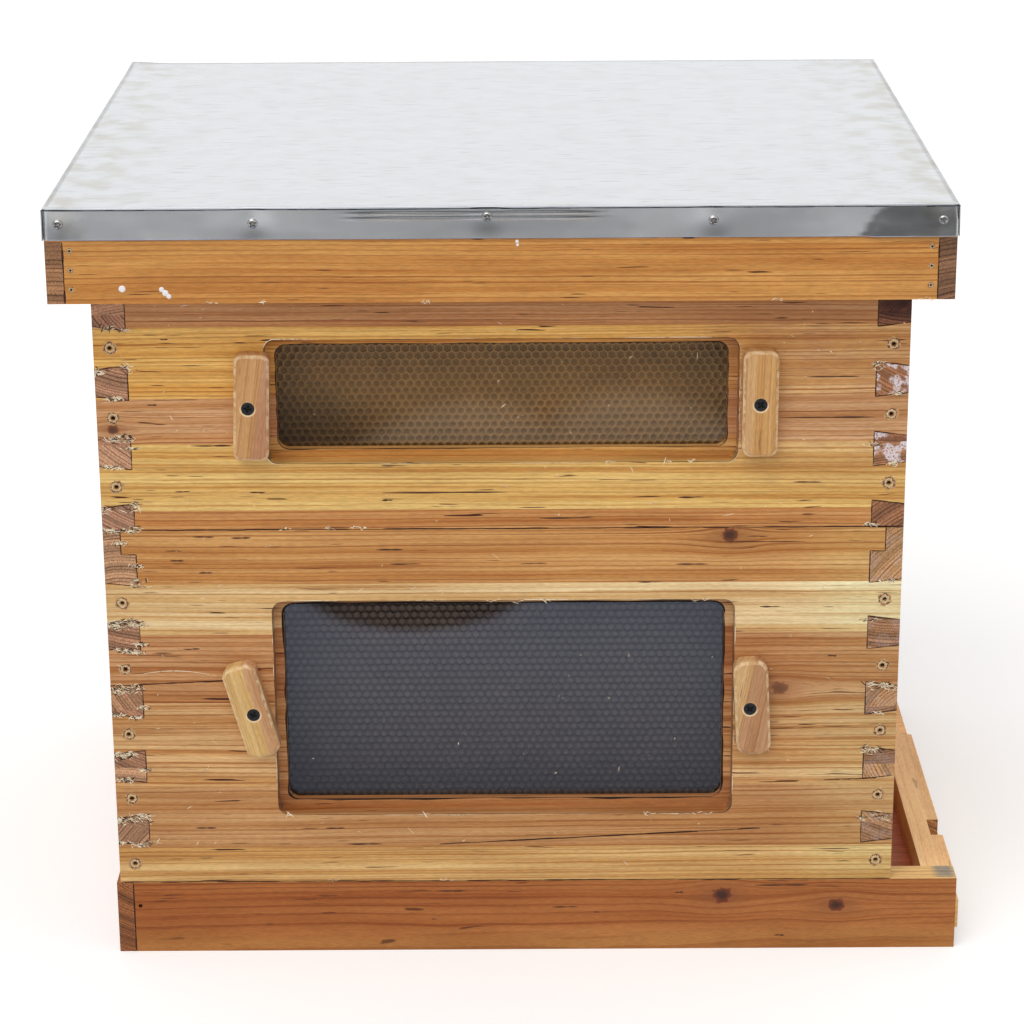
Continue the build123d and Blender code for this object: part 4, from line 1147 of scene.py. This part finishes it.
def comb_cells(low, high, face, outward):
    """Six-sided cells over a sheet's face: rows half a pitch apart sideways, each cell a rim, steep walls
    and a floor that dips to its middle. The ring of corners is repeated at each radius and depth. Returns
    the points, their depth as a share, and the faces."""
    pitch = 0.00535
    radii = np.array([1.0, 0.87, 0.74, 0.0]) * pitch / np.sqrt(3)
    depths = np.array([0.0, 0.0, 0.0013, 0.0016])
    row_pitch = pitch * np.sqrt(3) / 2
    columns = np.arange(low[0] + pitch / 2, high[0] - pitch, pitch)
    rows = np.arange(low[2] + row_pitch, high[2] - row_pitch / 2, row_pitch)
    x, z = np.meshgrid(columns, rows)
    x = x + (np.arange(len(rows)) % 2)[:, None] * pitch / 2
    corner = np.pi / 6 + np.arange(6) * np.pi / 3
    ring = radii[None, :, None]
    points = np.stack(np.broadcast_arrays(
        x.reshape(-1, 1, 1) + ring * np.cos(corner),
        face - outward * depths[None, :, None],
        z.reshape(-1, 1, 1) + ring * np.sin(corner),
    ), -1)
    share = np.zeros_like(points)
    share[..., 0] = (depths / depths.max())[None, :, None]
    faces = repeated(lattice(len(radii), len(corner), closed=True), x.size, len(radii) * len(corner))
    return points.reshape(-1, 3), share.reshape(-1, 3), faces if outward < 0 else faces[:, ::-1]


def slabs(low, high, fronts, backs):
    """Plain slabs that share an outline in X and Z, each between its own front and back, as deep as a
    cell's floor all over. Returns points, depth shares and faces."""
    x = np.array([low[0], high[0], high[0], low[0]])
    z = np.array([low[2], low[2], high[2], high[2]])
    y = np.stack([fronts, backs], -1)
    points = np.stack(np.broadcast_arrays(x, y[..., None], z), -1).reshape(-1, 3)
    faces = np.array([[0, 1, 2, 3], [7, 6, 5, 4], [0, 4, 5, 1], [1, 5, 6, 2], [2, 6, 7, 3], [3, 7, 4, 0]])
    return points, np.ones_like(points), repeated(faces, len(fronts), 8)


def foundation(box, material):
    """The sheets of foundation. The one behind the window and the last one show their cells."""
    sheet, web, count = 0.004, 0.0006, 10
    low, high = np.array(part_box(f"{box}_foundation"))
    number = np.arange(count)
    fronts = np.linspace(low[1], high[1] - sheet, count)
    thin_fronts = fronts + np.where(number == 0, (sheet - web) / 2, 0.0)
    thin_backs = fronts + sheet - np.where(number == count - 1, (sheet - web) / 2, 0.0)
    near, far = comb_cells(low, high, low[1], -1.0), comb_cells(low, high, high[1], 1.0)
    parts = (near, far, slabs(low, high, thin_fronts, thin_backs))
    points, faces = joined([(places, quads) for places, _, quads in parts])
    shares = np.concatenate([share for _, share, _ in parts])
    piece = make(f"{box}_comb", points, faces, f"{box}_frames", f"{box}_foundation", material, grain=shares,
                 smooth=False)
    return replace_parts(piece, f"{box}_foundation")


def comb_surface(name, rim, hollow, roughness, shade):
    """Foundation: one colour on the rims and walls of the cells and another on their floors. Inside an oval
    in X and Z the sheet behind the window is tinted lighter or darker, as painted light and shade."""
    near_sheet_depth, floor_depths, shade_edge = 0.06, (0.7, 0.95), (0.4, 1.0)
    patch_scale, patch_seed, patch_detail, patch_tones = 60.0, 7.0, 3.0, (0.92, 1.08)
    material, tree, surface = new_material(name, Roughness=roughness)
    depth, _, _ = split(tree, put(tree, "Attribute", attribute_name="grain").outputs["Vector"])
    place = put(tree, "TexCoord").outputs["Object"]
    x, y, z = split(tree, place)
    tone = mix(tree, spread(tree, depth, *floor_depths), display(*rim), display(*hollow))
    middle, reach, tint = shade
    near = calc(tree, "LESS_THAN", y, NEAR_FACE + near_sheet_depth)
    inside = calc(tree, "MULTIPLY", oval(tree, x, z, middle, reach, *shade_edge), near)
    tone = mix(tree, inside, tone, (*tint, 1.0), "MULTIPLY")
    patches = noise(tree, scaled(tree, place, patch_scale), patch_seed, patch_detail)
    tree.links.new(scaled(tree, tone, vary(tree, patches, *patch_tones)), surface["Base Color"])
    return material


frame_wood("brood", seed=61)
# Painted light on the near brood sheet: a lighter, browner oval at its top, where the recess shades the comb
# and the pane shows no reflection.
BROOD_PAINTED_LIGHT = ((-0.07, 0.24), (0.1, 0.05), (1.75, 1.45, 1.2))
black_foundation = comb_surface("black foundation", rim=(66, 60, 57), hollow=(100, 90, 85), roughness=0.45,
                                shade=BROOD_PAINTED_LIGHT)
foundation("brood", black_foundation)


# Honey super. Boards and joints like those of the brood box, lower and from brighter strips of fir, with
# chalky filler in the end grain of the front pins. It stands on the brood box by its weight alone.

SUPER_STRIPS = (
    (0.0125, (188, 134, 80)),
    (0.057, (209, 171, 103)),
    (0.0866, (196, 150, 107)),
    (0.1326, (214, 168, 93)),
    # The top strip's tone is raised as painted light, where the cover's rim shades it.
    (0.1683, (186, 134, 88)),
)
SUPER_KNOTS = ((-0.2536, 0.3613, 0.0032, 0.8),)
SUPER_HAZE = ((0.20, 0.395), (0.12, 0.08), (-0.25, -0.15), (184, 139, 98), 0.9)
# Painted shade on the super's front end: its top pin darkened under the cover's rim.
SHADED_TOP_PIN = ((-0.2065, 0.448), (0.03, 0.026), (0.0, 0.3), (78, 38, 28), 1.0)
SUPER_PIN_SHADES = ((1.0, 0.72, 0.54, 1.0), (1.22, 1.05, 1.0, 1.0))
SUPER_CHALK = (0.95, 0.376, 0.046)
SUPER_MARKS = (
    (-0.205, -0.180, 0.3505),
    (-0.232, -0.2255, 0.3774),
    (-0.222, -0.217, 0.4196),
    (-0.217, -0.207, 0.3204),
    (-0.170, -0.160, 0.3196),
    (-0.087, -0.080, 0.3140),
    (-0.086, -0.008, 0.3190),
    (0.012, 0.046, 0.3016),
    (0.099, 0.116, 0.3149),
    (0.162, 0.221, 0.3670),
    (0.171, 0.189, 0.3246),
    (0.178, 0.211, 0.3934),
)
fir("super near fir", "XYZ", ["super_side_near"], SUPER_STRIPS, seed=71, knots=SUPER_KNOTS,
    worn=(RECESS_DARKER,), haze=(SUPER_HAZE,))
plain_boards("super", SUPER_STRIPS, seed=72, pin_shades=SUPER_PIN_SHADES, chalk=SUPER_CHALK,
             front_haze=(SHADED_TOP_PIN,))
dress(nail_steel, "super_corner_nails")
dress(PANE, "super_window_pane")
nail_burrs("super_burrs", "super_corner_nails", "super_side_near", "super_side_far", size=1.0,
           body="super_box", slot="box_fir")
pin_tears("super", seed=75)
window_lines("super", gap_width=0.0006, seed=171)
dust("super", count=14, seed=173)
resin_marks("super_marks", "super_side_near", SUPER_MARKS, "super_box", "box_fir", seed=78)
button("super", "left", lean_deg=-2.0, across=-0.002, along=0.0, height=0.068, corner=0.0045, points_each=4,
       tones=((190, 144, 95), (180, 132, 98)), border=0.0055, grain_deg=6.0, seed=76)
button("super", "right", lean_deg=0.0, across=0.0, along=0.0, height=0.068, corner=0.0055, points_each=5,
       tones=((198, 156, 108), (194, 148, 92)), border=-0.004, grain_deg=1.0, seed=77)
button_screws("super", {"left": 0.2, "right": 0.7})


# Super frames. Pine frames like the brood box's, shallower, which hang in the super by their lugs. Their
# foundation is coated in brown wax.

frame_wood("super", seed=81)
# Painted shade on the near super sheet: a darker oval at its lower left, where the pane shows no reflection.
SUPER_SHADE = ((-0.15, 0.338), (0.09, 0.045), (0.58, 0.56, 0.54))
waxed_foundation = comb_surface("waxed foundation", rim=(190, 148, 88), hollow=(140, 102, 50), roughness=0.4,
                                shade=SUPER_SHADE)
foundation("super", waxed_foundation)


# Inner cover. A thin panel of fir with an oblong hole, under a rim of four strips that keeps the outer cover
# off it. It lies loose on the super.

PANEL_TONE = (198, 156, 106)
PANEL_LOW, PANEL_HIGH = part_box("inner_cover_panel")
PANEL_WIDTH = PANEL_HIGH[1] - PANEL_LOW[1]
PANEL_STRIPS = tuple((PANEL_WIDTH * share, PANEL_TONE) for share in (0.25, 0.5, 0.75, 1.0))
LONG_STRIPS = ((0.0194, (196, 152, 100)),)
SHORT_STRIPS = ((0.0194, (190, 146, 96)),)
fir("inner panel fir", "XZY", ["inner_cover_panel"], PANEL_STRIPS, seed=91)
fir("inner long fir", "XYZ", ["inner_rim_near", "inner_rim_far"], LONG_STRIPS, seed=92)
fir("inner short fir", "YXZ", ["inner_rim_front", "inner_rim_back"], SHORT_STRIPS, seed=93)


# Outer cover. A rim of orange fir, lapped and nailed at its corners, carries a panel under a galvanised sheet
# that is folded down over its edges and held by small steel screws.

RIM_STRIPS = ((0.0386, (190, 134, 70)),)
RIM_BACK_STRIPS = ((0.0386, (190, 134, 82)),)
RIM_FRONT_STRIPS = ((0.0386, (190, 134, 86)),)
COVER_STRIPS = ((0.23, (190, 140, 86)), (0.466, (184, 134, 80)))
fir("rim long fir", "XYZ", ["cover_rim_near", "cover_rim_far"], RIM_STRIPS, seed=101, pitch=0.0031,
    figure=0.9)
fir("rim back fir", "YXZ", ["cover_rim_back"], RIM_BACK_STRIPS, seed=105, pitch=0.0027, end_shade=0.85)
fir("rim front fir", "YXZ", ["cover_rim_front"], RIM_FRONT_STRIPS, seed=108, pitch=0.0027, end_shade=0.58)
fir("cover panel fir", "XZY", ["cover_panel"], COVER_STRIPS, seed=103)
dress(nail_steel, "cover_brads")
RIM_LOW, RIM_HIGH = np.array(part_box("cover_rim_near"))
RIM_ENDS = (RIM_LOW[0], RIM_HIGH[0])
RIM_FRAY = RIM_LOW[2] + 0.0006
rim_edge = np.array([[(x, RIM_LOW[1], RIM_FRAY) for x in RIM_ENDS]])
rim_joints = upright_lines("cover_rim_near", LINE_INSET, RIM_ENDS)
dark_lines("rim_joint_lines", rim_joints, width=0.0011, body="outer_cover", slot="cover_fir", seed=106,
           pieces_each=6)
nail_burrs("brad_burrs", "cover_brads", "cover_rim_near", "cover_rim_far", size=0.45, body="outer_cover",
           slot="cover_fir")
tears("rim_fibres", rim_edge, EDGE_CLUMPS, "outer_cover", "cover_fir", seed=107, limits=RIM_ENDS,
      fibres_each=EDGE_FIBRES, gaps=False)


def paint_drops():
    """Three drops of white paint on the near rim board, one smeared to three lobes and one to two: flat
    domes whose height falls off as a fourth power."""
    lobes = np.array([
        (-0.2402, 0.4589, 0.0021),
        (-0.2163, 0.4584, 0.0016),
        (-0.2141, 0.4562, 0.0019),
        (-0.2121, 0.4541, 0.0015),
        (-0.0011, 0.4871, 0.0011),
        (-0.0008, 0.4850, 0.0009),
    ])
    rise, rings, around = 0.0005, 7, 28
    share = np.linspace(1, 0, rings)[:, None]
    angle = np.linspace(0, 2 * np.pi, around, endpoint=False)[None, :]
    x, z, radius = (part[:, None, None] for part in lobes.T)
    y = RIM_LOW[1] - rise * (1 - share ** 4)
    domes = np.broadcast_arrays(x + radius * share * np.cos(angle), y, z + radius * share * np.sin(angle))
    faces = repeated(lattice(rings, around, closed=True), len(lobes), rings * around)
    paint, _, _ = new_material("white paint", Base_Color=display(240, 236, 238), Roughness=0.35)
    return make("paint_drops", np.stack(domes, -1), [faces], "outer_cover", "cover_fir", paint)


paint_drops()

SHEET_FOLD = 0.0009
DIMPLE_DEPTH = 0.0006
SHEET_LOW, SHEET_HIGH = np.array(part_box("cover_sheet"))
SHEET_MIDDLE = (SHEET_LOW + SHEET_HIGH) / 2
SHEET_HALF = (SHEET_HIGH - SHEET_LOW) / 2
QUARTER = np.pi / 2


def flap_reach(turn):
    """How far from the sheet's middle the flap lies that a turn brings to the front."""
    return SHEET_HALF[1] if round(np.sin(turn)) == 0 else SHEET_HALF[0]


def flap_turn(turn):
    """The turn that takes the front to a flap's own side, as a matrix."""
    return np.array(Matrix.Rotation(turn, 3, "Z"))


def flap_screw_places(turn):
    """Places along the flap, and heights, of the screws in the side that a turn brings to the front."""
    same, apart, half_head = 1e-5, 0.01, 0.005
    corners = (corners_of("cover_screws") - SHEET_MIDDLE) @ flap_turn(turn)
    heads = corners[corners[:, 1] < same - flap_reach(turn)]
    places = groups_of(heads[:, 0], apart)
    return np.array([(x, heads[np.abs(heads[:, 0] - x) < half_head, 2].mean()) for x in places])


def flap_offset(along, height, screws, knocked):
    """How far a flap stands off its plane: drawn in at each screw as a bell curve and bulging between them
    towards its free edge, by the product of two sine waves. A knocked flap is flared at one end past a
    bend, with two fine creases under part of the fold."""
    dimple_reach, bulge = 0.007, 0.0005
    quick_wave, quick_shift, slow_wave = 37.0, 1.3, 13.0
    flare, flare_run, bend_from_end, bend_slant = 0.002, 0.006, 0.041, 0.016
    crease, crease_places, crease_width, crease_middle, crease_half = 0.0003, (0.2, 0.36), 0.035, -0.015, 0.07
    apart = (along[..., None] - screws[:, 0]) ** 2 + (height[..., None] - screws[:, 1]) ** 2
    drawn = np.exp(-apart / (2 * dimple_reach ** 2)).sum(-1)
    free = np.clip((SHEET_HALF[2] - height) / (2 * SHEET_HALF[2]), 0, 1)
    waves = 0.5 + 0.5 * np.sin(along * quick_wave + quick_shift) * np.sin(along * slow_wave)
    bend = SHEET_HALF[0] - bend_from_end - bend_slant * np.sqrt(free)
    flared = np.clip((along - bend) / flare_run, 0, 1) * free
    creased = np.exp(-((along - crease_middle) / crease_half) ** 8)
    creases = sum(np.exp(-((free - place) / crease_width) ** 2) for place in crease_places) * creased
    return bulge * free * waves + knocked * (flare * flared + crease * creases) - DIMPLE_DEPTH * drawn


def flap(turn, half_width):
    """One side's flap as a grid: its section, up from the free edge and a quarter round the fold, carried
    along the side."""
    rows, fold_rows, columns = 40, 7, 181
    reach = flap_reach(turn)
    bent = np.linspace(0, QUARTER, fold_rows)[1:]
    rise = np.linspace(-SHEET_HALF[2], SHEET_HALF[2] - SHEET_FOLD, rows)
    out = np.concatenate([np.full(rows, reach), reach - SHEET_FOLD * (1 - np.cos(bent))])
    height = np.concatenate([rise, SHEET_HALF[2] - SHEET_FOLD * (1 - np.sin(bent))])
    out, along = np.meshgrid(out, np.linspace(-half_width, half_width, columns), indexing="ij")
    height = np.repeat(height[:, None], columns, 1)
    flat_share = np.clip(1 - (reach - out) / (SHEET_FOLD / 2), 0, 1)
    stand = flap_offset(along, height, flap_screw_places(turn), turn == 0) * flat_share
    return np.stack([along, -(out + stand), height], -1) @ flap_turn(turn).T, lattice(*out.shape)


def sheet_top():
    """The sheet's top as a grid: a few shallow waves that die out at the folds, and one corner bent up as a
    bell curve."""
    rows, columns = 81, 101
    wave_height, corner_height, corner_reach = 0.0003, 0.0012, 0.012
    x_wave, x_shift, y_wave, y_shift = 17, 1.0, 11, 0.4
    slant_x, slant_y, slant_share = 7, 19, 0.6
    half_x, half_y = SHEET_HALF[:2] - SHEET_FOLD
    x, y = np.linspace(-half_x, half_x, columns), np.linspace(-half_y, half_y, rows)
    y, x = np.meshgrid(y, x, indexing="ij")
    fade = (1 - (x / half_x) ** 6) * (1 - (y / half_y) ** 6)
    straight = np.sin(x * x_wave + x_shift) * np.sin(y * y_wave + y_shift)
    waves = straight + slant_share * np.sin(x * slant_x - y * slant_y)
    bend = np.exp(-((x + half_x) ** 2 + (y - half_y) ** 2) / (2 * corner_reach ** 2))
    height = SHEET_HALF[2] + wave_height * fade * (1 + slant_share + waves) + corner_height * bend
    return np.stack([x, y, height], -1), lattice(rows, columns)


def galvanised():
    """Zinc on steel: dull, with a soft cloudy grain, stains near the side folds, darker cloudy spots on the
    flaps, fine scuffs on the top and a darker line round the fold, which is painted shade."""
    cloud_scale, cloud_seed, cloud_detail, cloud_roughness = (22.0, 22.0, 90.0), 9.0, 4.0, (0.2, 0.26)
    dull, bright = display(219, 222, 226), display(225, 227, 231)
    stain_tone, flap_spot_tone = display(190, 186, 173), display(120, 122, 128)
    scuff_tone, fold_shade_tone = display(176, 178, 182), display(136, 139, 144)
    stain_start, stain_least = 0.70 * SHEET_HALF[0], 0.2
    top = SHEET_HIGH[2]
    material, tree, surface = new_material("galvanised sheet", Metallic=1.0)
    place = put(tree, "TexCoord").outputs["Object"]
    x, _, z = split(tree, place)

    def spots(scales, seed, detail, bounds, strengths):
        """Clouds to a metre in each direction, as strengths that go with two bounds of the cloud."""
        return spread(tree, noise(tree, stretched(tree, place, scales), seed, detail), *bounds, *strengths)

    def depth(start, full):
        """A share that grows from one depth under the sheet's top to another."""
        return spread(tree, z, top - start, top - full)

    clouds = noise(tree, stretched(tree, place, cloud_scale), cloud_seed, cloud_detail)
    zinc = mix(tree, vary(tree, clouds), dull, bright)
    stains = spots((45.0, 45.0, 45.0), seed=2.0, detail=5.0, bounds=(0.40, 0.66), strengths=(0.0, 0.7))
    off_middle = calc(tree, "ABSOLUTE", calc(tree, "SUBTRACT", x, SHEET_MIDDLE[0]))
    beside_fold = spread(tree, off_middle, stain_start, SHEET_HALF[0], stain_least, 1.0)
    zinc = mix(tree, calc(tree, "MULTIPLY", stains, beside_fold), zinc, stain_tone)
    # Darker cloudy spots on the hanging flaps.
    hanging = depth(0.0005, 0.001)
    flap_spots = spots((14.0, 14.0, 40.0), seed=4.0, detail=2.0, bounds=(0.35, 0.65), strengths=(0.25, 0.0))
    zinc = mix(tree, calc(tree, "MULTIPLY", flap_spots, hanging), zinc, flap_spot_tone)
    lying = calc(tree, "SUBTRACT", 1.0, hanging)
    scuffs = spots((45.0, 420.0, 45.0), seed=6.0, detail=2.0, bounds=(0.58, 0.67), strengths=(0.0, 0.45))
    zinc = mix(tree, calc(tree, "MULTIPLY", scuffs, lying), zinc, scuff_tone)
    # Painted shade round the fold, which darkens its reflection.
    below_top, above_flap = depth(0.00003, 0.0002), depth(0.0013, 0.0009)
    zinc = mix(tree, calc(tree, "MULTIPLY", below_top, above_flap), zinc, fold_shade_tone)
    tree.links.new(zinc, surface["Base Color"])
    tree.links.new(vary(tree, clouds, *cloud_roughness), surface["Roughness"])
    return material


def cover_sheet():
    """The sheet: its top and four flaps, those at the sides a little wider, thickened inwards."""
    thickness, side_flap_proud = 0.0005, 0.0009
    long_half, side_half = SHEET_HALF[0] - SHEET_FOLD, SHEET_HALF[1] + side_flap_proud
    long_flaps = [flap(turn, long_half) for turn in (0, 2 * QUARTER)]
    side_flaps = [flap(turn, side_half) for turn in (QUARTER, 3 * QUARTER)]
    points, faces = joined([sheet_top(), *long_flaps, *side_flaps])
    piece = make("galvanised_sheet", points + SHEET_MIDDLE, faces, "outer_cover", "galvanised_sheet",
                 galvanised())
    wall = piece.modifiers.new("thickness", "SOLIDIFY")
    wall.thickness = thickness
    wall.offset = -1.0
    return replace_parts(piece, "cover_sheet")


cover_sheet()
FOLD_SHADE, _, _ = new_material("fold shade", Base_Color=display(92, 96, 98), Metallic=0.6, Roughness=0.6)
FOLD_INSET, FOLD_BELOW = 0.002, 0.0002
fold_height = SHEET_HIGH[2] - SHEET_FOLD - FOLD_BELOW
fold_ends = (SHEET_LOW[0] + FOLD_INSET, SHEET_HIGH[0] - FOLD_INSET)
fold_line = np.array([[(x, SHEET_LOW[1], fold_height) for x in fold_ends]])
dark_lines("fold_line", fold_line, width=0.0007, body="outer_cover", slot="galvanised_sheet", seed=109,
           pieces_each=30, material=FOLD_SHADE)


def pan_head_screws():
    """Pan-head screws all round the flap: a head domed by a fourth power over a short shank."""
    head, rise, shank, shank_length = 0.0032, 0.0018, 0.0013, 0.015
    dome_rings, pressed_rings, recess_half, recess_reach, sharp_deg = 13, 11, 0.0006, 0.0019, 30
    dome = [(head * share, -rise * np.sqrt(1 - share ** 4)) for share in np.linspace(0, 1, dome_rings)]
    profile = np.array([*dome, (shank, 0.0), (shank, shank_length), (0.0, shank_length)])
    seed = 104
    random = np.random.default_rng(seed)
    driven = []
    for turn in np.arange(4) * QUARTER:
        for along, height in flap_screw_places(turn):
            shape, faces = screw(profile, pressed_rings, recess_half, recess_reach, random.uniform(0, np.pi))
            seated = shape + np.array([along, DIMPLE_DEPTH - flap_reach(turn), height])
            driven.append((seated @ flap_turn(turn).T + SHEET_MIDDLE, faces))
    tone = display(176, 174, 172)
    bright, _, _ = new_material("bright screw", Base_Color=tone, Metallic=1.0, Roughness=0.2)
    piece = make("sheet_screws", *joined(driven), "outer_cover", "bright_screw", bright, closed=True)
    piece.data.set_sharp_from_angle(angle=np.radians(sharp_deg))
    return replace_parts(piece, "cover_screws")


pan_head_screws()


# Studio. A pale floor that fades to white, light from all round, a soft lamp above and in front, and a camera
# with a long lens that looks down on the long side.

def seen_by_eye(tree):
    """One where a ray comes from the camera, straight or by way of a mirror or a clear pane, and else
    nought. Returns that, and the same for mirrors alone."""
    path = put(tree, "LightPath").outputs
    mirrored = path["Is Glossy Ray"]
    straight = calc(tree, "MAXIMUM", path["Is Camera Ray"], mirrored)
    return calc(tree, "MAXIMUM", straight, path["Is Transmission Ray"]), mirrored


def floor_surface():
    """A pale floor, white to the eye except where the hive shades it. In mirrors it glows instead, as a
    painted
    reflection: grey, and before the hive cool with one dark spot, two warm tongues before that, a dark gap,
    and grey beyond. Ovals have a middle and a reach, and fades two places in Y and the values there."""
    white, pale, black = (1.0, 1.0, 1.0, 1.0), (0.86, 0.86, 0.86, 1.0), (0.0, 0.0, 0.0, 1.0)
    cool, warm, grey, dim = (0.52, 0.58, 0.76), (0.84, 0.74, 0.62, 1.0), (1.0, 1.0, 1.0), (0.7, 0.7, 0.7, 1.0)
    cool_oval, cool_fade = ((0.0, -0.55), (0.5, 0.5)), (-0.40, -0.80, 0.75, 1.3)
    dark_spot = ((-0.09, -0.86), (0.1, 0.108))
    warm_tongues = (((-0.05, -0.95), (0.15, 0.47)), ((0.12, -0.95), (0.15, 0.5)))
    dark_gap, gap_tone = ((0.0, -1.4), (0.36, 0.5)), 0.12
    far_glow_fades = ((-4.5, -2.6, 0.1, 0.62), (-2.15, -1.85, 0.0, 0.4))
    mirror_glow_edge, eye_glow = (-0.95, -0.88), 0.3
    material, tree, surface = new_material("floor", Roughness=1.0)
    surface["Specular IOR Level"].default_value = 0.0
    seen, mirrored = seen_by_eye(tree)
    x, y, _ = split(tree, put(tree, "TexCoord").outputs["Object"])
    gap = spread(tree, oval(tree, x, y, *dark_gap), 0.0, 1.0, 1.0, gap_tone)
    beyond = calc(tree, "ADD", *(spread(tree, y, *fade) for fade in far_glow_fades))
    far_glow = scaled(tree, grey, calc(tree, "MULTIPLY", beyond, gap))
    tongues = calc(tree, "MAXIMUM", *(oval(tree, x, y, *tongue) for tongue in warm_tongues))
    spot = calc(tree, "SUBTRACT", 1.0, oval(tree, x, y, *dark_spot))
    brighter = calc(tree, "MULTIPLY", spot, spread(tree, y, *cool_fade))
    sheet = mix(tree, oval(tree, x, y, *cool_oval), dim, scaled(tree, cool, brighter))
    mirror_glow = mix(tree, spread(tree, y, *mirror_glow_edge), mix(tree, tongues, far_glow, warm), sheet)
    # In mirrors the floor is black and glows with its painted reflection.
    tree.links.new(mix(tree, mirrored, pale, black), surface["Base Color"])
    tree.links.new(mix(tree, mirrored, white, mirror_glow), surface["Emission Color"])
    glow = calc(tree, "MAXIMUM", calc(tree, "MULTIPLY", seen, eye_glow), mirrored)
    tree.links.new(glow, surface["Emission Strength"])
    return material


def floor():
    """A wide flat square under the hive."""
    reach = 12.0
    mesh = bpy.data.meshes.new("floor")
    corners = [(-reach, -reach, 0), (reach, -reach, 0), (reach, reach, 0), (-reach, reach, 0)]
    mesh.from_pydata(corners, [], [(0, 1, 2, 3)])
    mesh.materials.append(floor_surface())
    ground = bpy.data.objects.new("floor", mesh)
    bpy.context.collection.objects.link(ground)


def surroundings():
    """Even light from all round, white to the eye. In mirrors it is white too, but for a dim band low down
    before the hive, a painted reflection that darkens the cover's flaps."""
    even, band_dark = 0.65, 0.88
    before_bounds, low_bounds = (-0.7, -0.2), (0.1, 0.5)
    world = bpy.data.worlds.new("studio")
    bpy.context.scene.world = world
    world.use_nodes = True
    tree = world.node_tree
    seen, mirrored = seen_by_eye(tree)
    _, towards_back, up = split(tree, put(tree, "TexCoord").outputs["Generated"])
    before = spread(tree, towards_back, *before_bounds, band_dark, 0.0)
    low_down = spread(tree, up, *low_bounds, 1.0, 0.0)
    shown = calc(tree, "SUBTRACT", 1.0, calc(tree, "MULTIPLY", before, low_down))
    background = tree.nodes["Background"].inputs
    background["Color"].default_value = (1.0, 1.0, 1.0, 1.0)
    plain = calc(tree, "MULTIPLY_ADD", seen, 1 - even, even)
    change = calc(tree, "SUBTRACT", shown, plain)
    tree.links.new(calc(tree, "MULTIPLY_ADD", mirrored, change, plain), background["Strength"])


def lamp(name, strength, width_deg, elevation_deg, azimuth_deg):
    """A far, wide, soft lamp. Azimuth 0 stands before the long side, and 90 to its right."""
    light = bpy.data.lights.new(name, "SUN")
    light.energy = strength
    light.angle = np.radians(width_deg)
    source = bpy.data.objects.new(name, light)
    source.rotation_euler = (np.radians(90 - elevation_deg), 0.0, np.radians(azimuth_deg))
    bpy.context.collection.objects.link(source)


def camera():
    """The view's camera: where it stands, which way it looks, and its lens, for a square picture."""
    place = np.array([-0.00187, -2.03915, 0.93617])
    yaw, pitch, roll = -0.0018, 0.3313, -0.0061
    lens_mm, sensor_mm = 108.3, 36.0
    forward = np.array([np.sin(yaw) * np.cos(pitch), np.cos(yaw) * np.cos(pitch), -np.sin(pitch)])
    level = np.cross(forward, [0.0, 0.0, 1.0])
    level /= np.linalg.norm(level)
    upright = np.cross(level, forward)
    right = np.cos(roll) * level + np.sin(roll) * upright
    up = np.cos(roll) * upright - np.sin(roll) * level
    settings = bpy.data.cameras.new("camera")
    settings.lens, settings.sensor_width = lens_mm, sensor_mm
    viewer = bpy.data.objects.new("camera", settings)
    stance = np.eye(4)
    stance[:3] = np.stack([right, up, -forward, place], -1)
    viewer.matrix_world = Matrix(stance.tolist())
    bpy.context.collection.objects.link(viewer)
    bpy.context.scene.camera = viewer


floor()
surroundings()
lamp("key", strength=1.2, width_deg=50.0, elevation_deg=50.0, azimuth_deg=-25.0)
camera()
bpy.context.scene.view_settings.view_transform = "Standard"
